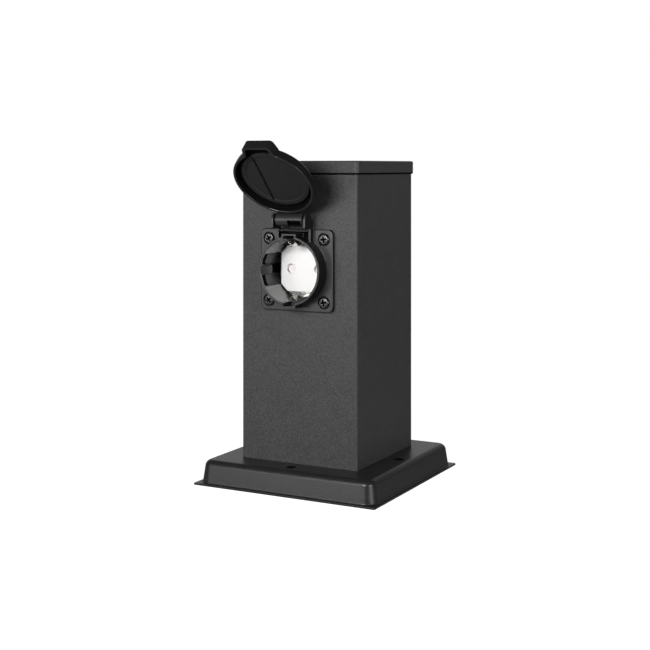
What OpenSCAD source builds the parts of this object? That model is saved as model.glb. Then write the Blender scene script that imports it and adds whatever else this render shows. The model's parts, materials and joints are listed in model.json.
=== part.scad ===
// Garden socket post: a square metal post on a pressed foot, with an earthed socket under a sprung lid
// The post stands on the ground at z = 0, the socket faces -Y, and the lid is drawn standing open.

/* [Post] */
// Height from the ground to the top of the cap
post_h = 200; // [180:1:320]
// Outer width of the square tube
tube_w = 80; // [76:0.5:100]
// Wall of the tube
tube_wall = 1.5; // [1:0.1:2.5]
// Radius on the tube's outer corners
tube_r = 1.2; // [0.6:0.1:4]
// Radius inside the tube's corners
tube_in_r = 0.4; // [0.2:0.1:2]

/* [Cap] */
// Sheet of the cap
cap_sheet = 1; // [0.6:0.1:2]
// Height of the cap over its skirt
cap_h = 8.4; // [5:0.1:15]
// Gap between the tube and the cap's skirt
cap_gap = 0.15; // [0.05:0.05:0.5]
// Radius on the cap's outer corners
cap_r = 2.2; // [1.4:0.1:5]
// Thickness of the cap seal
cap_seal_t = 1; // [0.5:0.1:3]
// Width of the cap seal's band
cap_seal_w = 5; // [3:0.5:10]

/* [Foot] */
// Width of the foot over its lip
foot_w = 124; // [118:1:160]
// Height of the foot's flat top
foot_h = 15; // [14:0.5:25]
// Sheet of the foot
foot_sheet = 1.2; // [0.8:0.1:2]
// Width of the flat lip outside the wall
lip_w = 1.8; // [1.5:0.1:6]
// Radius on the lip's corners
lip_r = 1; // [0.5:0.1:4]
// Radius of the wall's upright corners at the ground
wall_r = 8; // [7.5:0.1:14]
// Slope of the wall from upright, in degrees
draft = 9; // [2:0.5:12]
// Radius between the wall and the flat top
edge_r = 4; // [2:0.1:4.5]
// Radius between the wall and the lip
fillet_r = 1; // [0.5:0.1:1.4]
// Hole for an anchor screw
anchor_d = 6; // [4:0.1:8]
// Circle through the anchor holes
anchor_pcd = 98; // [94:0.5:102]

/* [Foot bracket] */
// Sheet of the bracket inside the tube
bracket_t = 2; // [1.5:0.1:3]
// Gap between the bracket and the tube
bracket_gap = 0.1; // [0.05:0.05:0.4]
// Height of the bracket's side walls
bracket_wall_h = 16; // [8:0.5:30]
// Height of the bracket's back leg
bracket_leg_h = 70; // [66:1:90]
// Width of the bracket's back leg
bracket_leg_w = 54; // [50:1:66]
// Hole in the bracket round the cable gland
bracket_hole_d = 36; // [32:0.5:44]
// Thread of the bracket's screws
bracket_screw_d = 5; // [4:0.5:6]
// Distance between the bracket's screws
bracket_screw_pitch = 56; // [52:0.5:62]

/* [Socket] */
// Height of the socket's axis over the ground
socket_z = 133.5; // [128:0.5:150]
// Width of the square flange
flange_w = 50; // [49:0.5:54]
// Thickness of the flange
flange_t = 2.2; // [2:0.1:5]
// Radius on the flange's corners
flange_r = 3.5; // [1:0.1:6]
// Thickness of the flange gasket
gasket_t = 0.6; // [0.5:0.1:2]
// Distance between the flange screws, both ways
screw_pitch = 38; // [37.5:0.5:41]
// Outer diameter of the collar and of the cup behind it
collar_d = 42; // [41.5:0.1:42.6]
// Inner diameter of the plug recess
recess_d = 39; // [38.6:0.1:39.4]
// Height of the collar over the flange
collar_h = 9.8; // [8.8:0.1:10]
// Depth from the rim to the contact plate
recess_depth = 20.4; // [19:0.1:22]
// Depth from the contact plate to the floor of the cup
floor_drop = 4; // [3.8:0.1:6]
// Thickness of the cup's floor
floor_t = 2; // [1.6:0.1:3]
// Width of the earth grooves' walls on the rim
groove_wall_w = 9.6; // [9:0.1:11]
// Width of the earth grooves
groove_w = 7.5; // [6.5:0.1:8]
// Reach of the earth grooves' walls from the socket's axis
groove_reach = 22.4; // [22:0.1:22.8]
// Wall over an earth groove
groove_cover = 1.1; // [0.8:0.1:1.4]
// Height of the guide ribs at the sides of the recess
rib_h = 5.6; // [4:0.1:6]
// Reach of the guide ribs into the recess
rib_in = 2.2; // [1:0.1:2.4]
// Distance of the guide ribs' front ends behind the rim
rib_set_back = 0.8; // [0.5:0.1:3]
// Length of the guide ribs' front parts
rib_l = 10; // [7:0.1:11]
// Length of the lead-in slope at a guide rib's front end
rib_lead = 4.6; // [3:0.1:6]
// Gap between the front and back parts of a guide rib
rib_split = 5.3; // [3:0.1:6]
// Height of the relief windows beside a guide rib
relief_h = 7; // [4:0.1:8]
// Depth of the relief windows into the wall
relief_in = 0.8; // [0.4:0.1:1]
// Distance of the relief windows behind the rim
relief_set_back = 1.4; // [1:0.1:3]
// Clearance of the cut-out in the tube round the cup
cutout_gap = 0.5; // [0.3:0.1:1]

/* [Flange screws] */
// Thread of the flange screws
flange_screw_d = 4; // [3:0.5:4]
// Head of the flange screws
flange_head_d = 7; // [6.5:0.1:7.5]
// Height of the screw heads
flange_head_h = 2.4; // [2:0.1:3]
// Depth of the ring recesses round the screw heads
head_recess = 1.4; // [1:0.1:1.8]
// Gap round a screw head in its recess
head_gap = 0.5; // [0.2:0.1:0.8]
// Gap round a screw's thread in a through hole
thread_gap = 0.2; // [0.1:0.05:0.3]
// Gap round a screw's thread in a tapped hole
tapped_gap = 0.05; // [0.02:0.01:0.1]
// Width over flats of the nuts
flange_nut_af = 7; // [6:0.5:8]
// Height of the nuts
flange_nut_h = 3.2; // [2:0.1:5]
// Length of thread past a nut
thread_past = 0.8; // [0.2:0.1:3]

/* [Contacts] */
// Distance between the plug's pins
pin_pitch = 19; // [18.8:0.1:19.2]
// Hole in the contact plate for a pin
pin_hole_d = 5.6; // [5:0.1:5.8]
// Width of the contact plate
plate_w = 33.4; // [32:0.1:33.6]
// Height of the contact plate
plate_h = 28.6; // [28:0.1:29.4]
// Chamfer on the contact plate's corners
plate_chamfer = 4.6; // [4.4:0.1:6]
// Front wall of the contact plate
plate_wall = 1.4; // [1:0.1:1.6]
// Diameter of the pegs that hold the contact plate
peg_d = 2; // [1.6:0.1:2.4]
// Gap round a peg
peg_gap = 0.05; // [0.02:0.01:0.1]
// Diameter of the shutter
shutter_d = 25.6; // [25.2:0.1:26]
// Thickness of the shutter
shutter_t = 1.6; // [1:0.1:1.8]
// Gap between the shutter and what is round it
shutter_gap = 0.35; // [0.3:0.05:0.5]
// Pivot of the shutter
pivot_d = 4; // [3:0.1:5]
// Gap round the shutter's pivot
pivot_gap = 0.06; // [0.02:0.01:0.1]
// Turn that opens the shutter, in degrees
shutter_turn = 40; // [38:1:44]
// Extra size of the shutter's windows over the pin holes
window_extra = 0.3; // [0.1:0.1:0.4]
// Outer diameter of a contact sleeve
sleeve_d = 6.6; // [6:0.1:6.8]
// Bore of a contact sleeve
sleeve_bore = 4.9; // [4.6:0.1:5]
// Gap round a contact sleeve in the carrier
sleeve_gap = 0.05; // [0.02:0.01:0.1]
// Depth of the carrier behind the contact plate
carrier_d = 12; // [11:0.1:16]
// Width of the carrier
carrier_w = 26.6; // [26.4:0.1:27]
// Height of the carrier where it passes the cup's floor
carrier_h = 19; // [18:0.1:20]
// Height of the carrier's shoulder behind the floor
shoulder_h = 25; // [24:0.1:25.6]
// Gap round the carrier in the cup's floor
carrier_gap = 0.2; // [0.1:0.05:0.4]
// Side of a clamp block at the rear of a contact
clamp_w = 7; // [6:0.1:7.4]
// Height of a clamp block
clamp_h = 8; // [7:0.1:10]
// Length of a clamp block
clamp_l = 7; // [6:0.1:10]
// Thread of the contacts' clamp screws
clamp_screw_d = 3; // [2.5:0.1:3.5]
// Width of the earth clip's strip
clip_w = 5; // [4:0.1:6]
// Thickness of the earth clip's strip
clip_t = 0.8; // [0.6:0.1:0.9]
// Distance from the socket's axis to the earth clip's arms
clip_y = 17; // [16.8:0.1:17.2]
// Distance of the earth clip's tips behind the rim
clip_set_back = 4.5; // [3:0.1:6]
// Flare of the earth clip's tips away from the axis
clip_flare = 0.8; // [0:0.1:1]
// Distance of the earth clip's knees behind the rim
clip_knee = 8.5; // [7:0.1:10]
// Bend of the earth clip's knees towards the axis
clip_bend = 2.2; // [1:0.1:2.4]
// Distance behind the rim where the earth clip's arms begin to bend
clip_leg = 14; // [11:0.1:16]
// Width of the earth clip's base on the floor
clip_base_w = 7.8; // [6:0.1:8]
// Reach of the earth clip's base from the socket's axis
clip_base_out = 18.6; // [18.2:0.1:18.7]
// Gap between the earth clip's base and the contact plate
clip_base_gap = 0.4; // [0.2:0.1:0.8]
// Gap round an earth clip's arm in the floor
clip_gap = 0.3; // [0.2:0.05:0.5]
// Distance of the contact plate's pegs from the axis, sideways
peg_x = 15.1; // [14.9:0.1:15.3]
// Distance of the contact plate's pegs from the axis, upwards
peg_y = 6.5; // [4:0.1:8]
// Outer diameter of the shutter's spring
shutter_spring_d = 8; // [7:0.1:9]
// Wire of the shutter's spring
shutter_spring_wire = 0.4; // [0.3:0.05:0.5]
// Turns of the shutter's spring
shutter_spring_turns = 3; // [2:1:3]
// Depth of the room for the shutter's spring
shutter_spring_room = 4; // [3.6:0.1:6]
// Post inside the shutter's spring
shutter_post_d = 5; // [3:0.1:5.4]

/* [Socket back] */
// Outer diameter of the rear cover
back_d = 41; // [40.8:0.1:41.4]
// Wall of the rear cover
back_wall = 1.4; // [1:0.1:1.5]
// Room behind the clamp blocks
back_room = 2; // [1:0.1:6]
// Thread of the rear cover's screws
back_screw_d = 2.5; // [2:0.1:2.6]
// Distance of the rear cover's screws from the axis
back_screw_x = 16.3; // [16.2:0.1:16.5]

/* [Lid] */
// Angle of the open lid from closed, in degrees
lid_open = 135; // [90:1:165]
// Outer diameter of the lid
lid_d = 50.5; // [50.2:0.1:51]
// Wall of the lid's skirt
lid_wall = 1.6; // [1.2:0.1:1.7]
// Depth of the lid from its rim to its outer face
lid_h = 7; // [6.8:0.1:10]
// Radius round the lid's outer face
lid_edge_r = 3; // [1.5:0.1:3.2]
// Thickness of the lid's face
lid_face_t = 2; // [1.5:0.1:2.2]
// Gap between the closed lid's seal and the rim
seal_gap = 0.3; // [0.25:0.05:0.6]
// Radius of the lid's seal
seal_r = 21.4; // [21.2:0.1:22]
// Width of the seal's raised ring
seal_ring_w = 2.6; // [2.2:0.1:4]
// Sink of the seal's middle below its ring
seal_sink = 0.5; // [0.3:0.1:0.6]
// Distance from the seal's middle to its straight groove
seal_groove_x = 8; // [4:0.5:12]
// Width of the seal's straight groove
seal_groove_w = 0.8; // [0.5:0.1:1.5]
// Half width of the thumb tab at its end
tab_end = 9; // [5:0.1:9.4]
// Half width of the thumb tab at the lid
tab_root = 10.6; // [9.5:0.1:13]
// Reach of the thumb tab past the lid's rim
tab_reach = 4.4; // [2:0.1:7]
// Depth of the thumb tab from the rim
tab_h = 6.6; // [4:0.1:7.4]

/* [Hinge] */
// Distance of the hinge axis over the socket's axis
hinge_rise = 30.8; // [30.4:0.1:32]
// Distance of the hinge axis in front of the flange
hinge_reach = 6.4; // [6.2:0.1:7]
// Diameter of the hinge pin
pin_d = 2.3; // [2:0.1:2.6]
// Gap round the pin in the lid's barrel
pin_run_gap = 0.06; // [0.02:0.01:0.1]
// Gap round the pin in the ears
pin_hold_gap = 0.02; // [0.01:0.01:0.05]
// Diameter of the lid's barrel
barrel_d = 7.8; // [6.6:0.1:8.2]
// Length of the lid's barrel
barrel_l = 18.2; // [16:0.1:20]
// Thickness of the strap between the lid and its barrel
strap_t = 1.9; // [1.4:0.1:3]
// Gap between the barrel and an ear
ear_gap = 1.2; // [0.3:0.05:1.4]
// Thickness of an ear
ear_t = 1.5; // [1.2:0.1:3]
// Diameter of an ear's round end
ear_d = 8; // [6.6:0.1:8.4]
// Height of the pedestal that carries the ears
pedestal_h = 3.4; // [2.5:0.1:3.6]
// Lower edge of the pedestal over the socket's axis
pedestal_y = 17.6; // [16:0.1:20]
// Wall between the ears at the pedestal's top
pedestal_wall = 1.2; // [0.8:0.1:2]
// Height of the ears' feet at the flange's top edge
ear_foot = 1; // [0.5:0.1:1.2]
// Left end of the window in the barrel
spring_window_x = -0.7; // [-3:0.1:0]
// Width of the window in the barrel
spring_window_w = 5; // [3:0.1:6]
// Wall at the right end of the barrel's window
spring_end_wall = 0.8; // [0.6:0.1:1.5]
// Wire of the lid's spring
spring_wire = 0.6; // [0.4:0.05:0.7]
// Outer diameter of the lid's spring
spring_d = 5; // [4.6:0.1:5.2]
// Gap round the lid's spring in the barrel
spring_gap = 0.3; // [0.2:0.05:0.4]
// Turns of the lid's spring
spring_turns = 6; // [4:1:6]

/* [Terminal block] */
// Height of the block's middle over the foot's top
block_z = 52; // [48:1:56]
// Width of the terminal block
block_w = 30; // [28:0.5:40]
// Depth of the terminal block
block_d = 14; // [12:0.5:18]
// Height of the terminal block
block_h = 18; // [16:0.5:24]
// Distance between the block's poles
pole_pitch = 10; // [9:0.1:10]
// Distance of the poles in front of the bracket's leg
pole_in = 7; // [6:0.1:7.5]
// Outer diameter of a pole's brass tube
pole_d = 4.4; // [4:0.1:5]
// Bore of a pole's brass tube
pole_bore = 2.4; // [2:0.1:2.6]
// Gap round a brass tube in the block
pole_gap = 0.1; // [0.05:0.05:0.2]
// Depth of a brass tube's ends below the block's ends
pole_sink = 1; // [0.5:0.1:3]
// Thread of the block's clamp screws
block_clamp_d = 2.6; // [2:0.1:3]
// Distance between a pole's two clamp screws
block_clamp_pitch = 10; // [8:0.1:11]
// Thread of the block's fixing screws
block_fix_d = 3; // [2.5:0.1:3.2]

/* [Wiring] */
// Outer diameter of an inner wire
wire_d = 2.8; // [2.5:0.1:3]
// Gap round a wire where it leaves the rear cover
wire_gap = 0.4; // [0.2:0.1:0.6]
// Thread of the earth bond's screw
bond_screw_d = 4; // [3:0.5:5]
// Distance of the earth bond to the right of the middle
bond_x = 18; // [17:0.5:20]
// Height of the earth bond over the foot's top
bond_z = 24; // [22:0.5:28]
// Thickness of the earth bond's lug
lug_t = 1; // [0.8:0.1:1.5]
// Diameter of the lug's ring
lug_d = 9; // [8:0.5:10]
// Diameter of the lug's crimped barrel
lug_barrel_d = 4; // [3.4:0.1:5]
// Length of the lug's crimped barrel
lug_barrel_l = 6; // [4:0.5:8]

/* [Cable gland] */
// Thread of the gland
gland_d = 20; // [16:0.5:22]
// Gap round the gland's thread in the foot
gland_gap = 0.2; // [0.1:0.05:0.4]
// Width over flats of the gland's body
gland_af = 24; // [23:0.5:27]
// Height of the gland's hexagon
gland_hex_h = 6; // [4:0.5:10]
// Bore of the gland's body
gland_bore = 13; // [12:0.5:15]
// Diameter of the gland's upper neck
gland_neck_d = 17; // [16:0.5:18]
// Height of the gland's upper neck
gland_neck_h = 8; // [6:0.5:12]
// Height of the gland's lock nut
locknut_h = 4.6; // [3:0.1:6]
// Length of the gland's thread past its lock nut
gland_past = 1; // [0.5:0.1:2]
// Width over flats of the lock nut
locknut_af = 26; // [25:0.5:30]
// Diameter of the dome nut
dome_d = 22; // [21:0.5:26]
// Height of the dome nut
dome_h = 13; // [11:0.5:18]
// Top wall of the dome nut
dome_wall = 2; // [1:0.1:3]
// Bore under the gland's seal
gland_low_bore = 11; // [10.5:0.1:11.5]
// Bore for the supply cable
cable_d = 9; // [6:0.5:10]

/* [Hidden] */
$fn = 96;
// Overshoot of a cut past the faces that it goes through
cut = 1;

// Levels and faces of the post
tube_half = tube_w / 2;
tube_in = tube_w - 2 * tube_wall;
tube_top = post_h - cap_sheet - cap_seal_t;
cap_in = tube_w + 2 * cap_gap;
foot_under = foot_h - foot_sheet;

// Section of the foot's wall, from the axis of an upright corner outwards
wall_half = foot_w / 2 - lip_w;
corner_at = wall_half - wall_r;
edge_z = foot_h - edge_r;
edge_u = wall_r - edge_r * cos(draft) - (edge_z + edge_r * sin(draft)) * tan(draft);
fillet_z = foot_sheet + fillet_r;
// The fillet's circle dips this far into the wall, so that they meet at an edge
fillet_dip = 0.05;
fillet_u = wall_r + (fillet_r - fillet_dip - fillet_z * sin(draft)) / cos(draft);

// Socket frame: z points out of the post from the flange's front, and y points up from the socket's axis
flange_y = -tube_half - gasket_t - flange_t;
panel_z = -flange_t - gasket_t;
plate_z = collar_h - recess_depth;
floor_z = plate_z - floor_drop;
floor_back = floor_z - floor_t;
shutter_room_z = plate_z - plate_wall;
carrier_back = floor_z - carrier_d;
clamp_back = carrier_back - clamp_l;
back_in_z = clamp_back - back_room;
back_z = back_in_z - back_wall;
recess_r = recess_d / 2;
screw_at = screw_pitch / 2;
pin_at = pin_pitch / 2;

// Lid in its closed place in the socket frame
lid_r = lid_d / 2;
rim_z = hinge_reach;
seal_z = collar_h + seal_gap;
face_in_z = rim_z + lid_h - lid_face_t;
ear_at = barrel_l / 2 + ear_gap;
spring_end_x = barrel_l / 2 - spring_end_wall;
spring_room_d = spring_d + 2 * spring_gap;

// Bracket and terminal block in the post's frame
bracket_out = tube_in - 2 * bracket_gap;
leg_y = bracket_out / 2 - bracket_t;
block_mid = foot_h + block_z;
block_top = block_mid + block_h / 2;
block_low = block_mid - block_h / 2;
pole_y = leg_y - pole_in;
bond_at_z = foot_h + bond_z;

// Route of the inner wires
clamp_y = flange_y - clamp_back;
wire_lead = 4;
wire_straight = 10;
lug_lift = 0.1;
wire_fall = 13;
wire_steps = 5;
wire_sides = 8;
lug_y = leg_y - lug_barrel_d / 2 - lug_lift;
lug_end_x = bond_x - lug_d / 2 - lug_barrel_l;
bond_lead = 2;
bond_rise = 5;
bond_route = [
    [lug_end_x, lug_y, bond_at_z],
    [lug_end_x - bond_lead, lug_y, bond_at_z],
    [lug_end_x - bond_rise, lug_y, bond_at_z],
    [0, (lug_y + pole_y) / 2, bond_at_z + bond_rise],
    [0, pole_y, block_low - bond_rise],
    [0, pole_y, block_low - bond_lead],
    [0, pole_y, block_low + pole_sink]
];

// Screw heads and drives, as shares of the thread they belong to
head_share = 1.8;
head_h_share = 0.6;
drive_share = 0.22;
drive_reach = 0.66;

// Exact flat shapes
module rounded_square(w, h, r) {
    square([w - 2 * r, h], center = true);
    square([w, h - 2 * r], center = true);
    for (sx = [-1, 1], sy = [-1, 1])
        translate([sx * (w / 2 - r), sy * (h / 2 - r)]) circle(r);
}

module square_ring(outer, outer_r, inner, inner_r) {
    difference() {
        rounded_square(outer, outer, outer_r);
        rounded_square(inner, inner, inner_r);
    }
}

module hex_bar(af, h) {
    cylinder(d = af / cos(30), h = h, $fn = 6);
}

// Screw along z with its head's seat at z = 0, its thread below and a drive with the given number of slots
module screw(d, length, head_d, head_h, slots) {
    slot = head_d * drive_share;
    difference() {
        union() {
            translate([0, 0, -length]) cylinder(d = d, h = length);
            cylinder(d = head_d, h = head_h);
        }
        for (i = [0 : slots - 1])
            rotate(45 + 90 * i)
                translate([0, 0, head_h])
                    cube([head_d * drive_reach, slot, head_h], center = true);
    }
}

// Places
module at_socket() {
    translate([0, flange_y, socket_z]) rotate([90, 0, 0]) children();
}

module at_lid() {
    at_socket()
        translate([0, hinge_rise, hinge_reach])
            rotate([-lid_open, 0, 0])
                translate([0, -hinge_rise, -hinge_reach]) children();
}

module at_flange_screws() {
    for (sx = [-1, 1], sy = [-1, 1])
        translate([sx * screw_at, sy * screw_at, 0]) children();
}

module at_foot_screws() {
    at = bracket_screw_pitch / 2;
    for (sx = [-1, 1], sy = [-1, 1]) translate([sx * at, sy * at, 0]) children();
}

module along_x(x, y, z) {
    translate([x, y, z]) rotate([0, 90, 0]) children();
}

// Round tube swept along points, each with a direction that its rings keep to
function unit(v) = v / norm(v);
function tangent(p, i) = unit(p[min(i + 1, len(p) - 1)] - p[max(i - 1, 0)]);
function ring_side(t, ref) = unit(ref - t * (t * ref));
function ring_points(c, t, ref, r, sides) =
    let (u = ring_side(t, ref), v = cross(t, u))
    [for (k = [0 : sides - 1]) let (a = 360 * k / sides) c + r * cos(a) * u + r * sin(a) * v];

module swept_tube(path, refs, d, sides) {
    n = len(path);
    points = [for (i = [0 : n - 1]) each ring_points(path[i], tangent(path, i), refs[i], d / 2, sides)];
    walls = [
        for (i = [0 : n - 2], k = [0 : sides - 1])
            let (a = i * sides + k, b = i * sides + (k + 1) % sides)
            each [[a, a + sides, b + sides], [a, b + sides, b]]
    ];
    first = [for (k = [1 : sides - 2]) [0, k, k + 1]];
    last = [for (k = [1 : sides - 2]) let (e = (n - 1) * sides) [e, e + k + 1, e + k]];
    polyhedron(points, concat(walls, first, last));
}

// Smooth curve through chosen points
function curve_point(a, b, c, d, t) =
    0.5 * (2 * b + (c - a) * t + (2 * a - 5 * b + 4 * c - d) * t * t + (3 * b - a - 3 * c + d) * t * t * t);
function curve(p, steps) = concat(
    [for (i = [0 : len(p) - 2], s = [0 : steps - 1])
        curve_point(p[max(i - 1, 0)], p[i], p[i + 1], p[min(i + 2, len(p) - 1)], s / steps)],
    [p[len(p) - 1]]
);

// Least gap of a wound wire to itself, on points that are more than half a turn apart
rings_per_turn = 8;
coil_sides = 6;
function least_gap(path, d) = min([
    for (i = [0 : len(path) - 1], j = [i + 1 : len(path) - 1])
        if (j - i > rings_per_turn / 2 + 1) norm(path[i] - path[j])
]) - d;

// Coil along x from 0 to a length, with ends that run straight into the walls beside it
function coil_turn(i) = 360 * i / rings_per_turn;
function coil_path(length, r, turns, lead) =
    let (n = turns * rings_per_turn, run = length - 2 * lead)
    concat(
        [[0, r, 0]],
        [for (i = [0 : n]) let (a = coil_turn(i)) [lead + run * i / n, r * cos(a), r * sin(a)]],
        [[length, r, 0]]
    );
function coil_refs(turns) =
    let (n = turns * rings_per_turn)
    concat([[0, 1, 0]], [for (i = [0 : n]) let (a = coil_turn(i)) [0, cos(a), sin(a)]], [[0, 1, 0]]);

module coil(length, outer_d, wire, turns) {
    swept_tube(coil_path(length, (outer_d - wire) / 2, turns, wire), coil_refs(turns), wire, coil_sides);
}

// Foot: one section runs along the four sides and turns round the four corners
module pan_section(inset, low) {
    r = edge_r - inset;
    top_u = edge_u + r * cos(draft);
    top_z = edge_z + r * sin(draft);
    intersection() {
        union() {
            polygon([[0, -low], [top_u + (top_z + low) * tan(draft), -low], [top_u, top_z], [0, top_z]]);
            translate([edge_u, edge_z]) circle(r);
            translate([0, edge_z]) square([edge_u, r]);
        }
        translate([0, -low]) square([wall_r + low, foot_h + low]);
    }
}

module fillet_section() {
    wall_u = fillet_u - fillet_r * cos(draft);
    wall_z = fillet_z - fillet_r * sin(draft);
    root_u = wall_r - foot_sheet / 2;
    difference() {
        polygon([[root_u, 0], [fillet_u, 0], [fillet_u, fillet_z], [wall_u, wall_z], [root_u, foot_sheet]]);
        translate([fillet_u, fillet_z]) circle(fillet_r);
    }
}

module sheet_section() {
    difference() {
        pan_section(0, 0);
        pan_section(foot_sheet, cut);
    }
    fillet_section();
}

module foot_plate() {
    through = foot_sheet + 2 * cut;
    color("#3c3e40")
    difference() {
        union() {
            for (a = [0 : 90 : 270]) rotate(a) translate([corner_at, corner_at, 0]) {
                rotate_extrude(angle = 90) sheet_section();
                rotate([90, 0, 0]) linear_extrude(2 * corner_at) sheet_section();
            }
            translate([0, 0, foot_h - foot_sheet / 2])
                cube([2 * corner_at, 2 * corner_at, foot_sheet], center = true);
            linear_extrude(foot_sheet)
                square_ring(foot_w, lip_r, 2 * wall_half - foot_sheet, wall_r - foot_sheet / 2);
        }
        for (a = [0 : 90 : 270]) rotate(a)
            translate([anchor_pcd / 2, 0, foot_under - cut]) cylinder(d = anchor_d, h = through);
        translate([0, 0, foot_under - cut]) {
            cylinder(d = gland_d + 2 * gland_gap, h = through);
            at_foot_screws() cylinder(d = bracket_screw_d + 2 * thread_gap, h = through);
        }
    }
}

module foot_bracket() {
    side_x = bracket_out / 2 - bracket_t;
    color("#9aa0a4")
    difference() {
        union() {
            translate([-bracket_out / 2, -bracket_out / 2, foot_h])
                cube([bracket_out, bracket_out, bracket_t]);
            for (x = [-bracket_out / 2, side_x])
                translate([x, -bracket_leg_w / 2, foot_h]) cube([bracket_t, bracket_leg_w, bracket_wall_h]);
            translate([-bracket_leg_w / 2, leg_y, foot_h]) cube([bracket_leg_w, bracket_t, bracket_leg_h]);
        }
        translate([0, 0, foot_h - cut]) {
            cylinder(d = bracket_hole_d, h = bracket_t + 2 * cut);
            at_foot_screws() cylinder(d = bracket_screw_d + 2 * tapped_gap, h = bracket_t + 2 * cut);
        }
        at_block_screws(leg_y - cut)
            along_y() cylinder(d = block_fix_d + 2 * tapped_gap, h = bracket_t + 2 * cut);
        translate([bond_x, leg_y - cut, bond_at_z])
            along_y() cylinder(d = bond_screw_d + 2 * tapped_gap, h = bracket_t + 2 * cut);
    }
}

module foot_screws() {
    color("silver")
    at_foot_screws() translate([0, 0, foot_under]) mirror([0, 0, 1])
        screw(bracket_screw_d, foot_sheet + bracket_t + thread_past,
            bracket_screw_d * head_share, bracket_screw_d * head_h_share, 2);
}

module post_tube() {
    through = tube_wall + 2 * cut;
    color("#4a4c4e")
    difference() {
        translate([0, 0, foot_h])
            linear_extrude(tube_top - foot_h) square_ring(tube_w, tube_r, tube_in, tube_in_r);
        at_socket() translate([0, 0, panel_z - tube_wall - cut]) {
            cylinder(d = collar_d + 2 * cutout_gap, h = through);
            at_flange_screws() cylinder(d = flange_screw_d + 2 * thread_gap, h = through);
        }
    }
}

module cap_seal() {
    color("#202020")
    translate([0, 0, tube_top])
        linear_extrude(cap_seal_t) square_ring(tube_w, tube_r, tube_w - 2 * cap_seal_w, tube_in_r);
}

module top_cap() {
    outer = cap_in + 2 * cap_sheet;
    color("#4a4c4e")
    translate([0, 0, post_h - cap_h])
    difference() {
        linear_extrude(cap_h) rounded_square(outer, outer, cap_r);
        translate([0, 0, -cut])
            linear_extrude(cap_h - cap_sheet + cut) rounded_square(cap_in, cap_in, tube_r);
    }
}

module flange_gasket() {
    color("#161616")
    at_socket() translate([0, 0, panel_z]) linear_extrude(gasket_t)
    difference() {
        rounded_square(flange_w, flange_w, flange_r);
        circle(d = collar_d + 2 * cutout_gap);
        at_flange_screws() circle(d = flange_screw_d + 2 * thread_gap);
    }
}

// Socket housing: flange, collar and cup in one moulding, with the ears of the hinge
module ear_outline() {
    low_y = flange_w / 2 - ear_foot;
    translate([hinge_rise, hinge_reach]) circle(d = ear_d);
    translate([flange_w / 2 + ear_foot / 2, hinge_reach - ear_d / 2])
        square([hinge_rise - flange_w / 2 - ear_foot / 2, ear_d]);
    translate([low_y, 0]) square([hinge_rise - low_y, hinge_reach - ear_d / 2 + ear_foot]);
    translate([pedestal_y, 0]) square([flange_w / 2 - pedestal_y, pedestal_h]);
}

module ears() {
    for (x = [-ear_at - ear_t, ear_at])
        translate([x, 0, 0]) rotate([90, 0, 90]) linear_extrude(ear_t) ear_outline();
    translate([-ear_at, flange_w / 2 - pedestal_wall, 0]) cube([2 * ear_at, pedestal_wall, pedestal_h]);
}

module earth_grooves(w, reach, low) {
    for (s = [-1, 1]) translate([-w / 2, s > 0 ? 0 : -reach, low]) cube([w, reach, collar_h - low]);
}

module relief_windows() {
    top = collar_h - relief_set_back;
    intersection() {
        translate([0, 0, floor_z]) cylinder(r = recess_r + relief_in, h = top - floor_z);
        for (s = [-1, 1])
            translate([-collar_d / 2, s * (rib_h + relief_h) / 2 - relief_h / 2, floor_z])
                cube([collar_d, relief_h, top - floor_z]);
    }
}

module rib_lead_ins() {
    top = collar_h - rib_set_back;
    for (s = [0, 1])
        mirror([s, 0, 0]) rotate([90, 0, 0]) linear_extrude(2 * rib_h, center = true)
            polygon([
                [recess_r, top], [recess_r - rib_in, top - rib_lead],
                [0, top - rib_lead], [0, top + cut], [recess_r, top + cut]
            ]);
}

module guide_ribs() {
    difference() {
        intersection() {
            translate([0, 0, floor_z])
                cylinder(r = recess_r + relief_in, h = collar_h - rib_set_back - floor_z);
            translate([-collar_d / 2, -rib_h / 2, floor_z]) cube([collar_d, rib_h, collar_h - floor_z]);
        }
        translate([rib_in - recess_r, -rib_h, floor_z - cut])
            cube([2 * (recess_r - rib_in), 2 * rib_h, collar_h - floor_z + 2 * cut]);
        translate([-collar_d / 2, -rib_h, collar_h - rib_set_back - rib_l - rib_split])
            cube([collar_d, 2 * rib_h, rib_split]);
        rib_lead_ins();
    }
}

module floor_openings() {
    slot_t = clip_t + 2 * clip_gap;
    slot_w = clip_w + 2 * clip_gap;
    translate([0, 0, floor_back - cut]) {
        linear_extrude(floor_t + 2 * cut) {
            square([carrier_w + 2 * carrier_gap, carrier_h + 2 * carrier_gap], center = true);
            for (s = [-1, 1]) translate([0, s * clip_y]) square([slot_w, slot_t], center = true);
        }
        at_pegs() cylinder(d = peg_d + 2 * peg_gap, h = floor_t + 2 * cut);
        at_back_screws() cylinder(d = back_screw_d + 2 * tapped_gap, h = floor_t + 2 * cut);
    }
}

module at_pegs() {
    for (sx = [-1, 1], sy = [-1, 1]) translate([sx * peg_x, sy * peg_y, 0]) children();
}

module at_back_screws() {
    for (s = [-1, 1]) translate([s * back_screw_x, 0, 0]) children();
}

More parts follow.
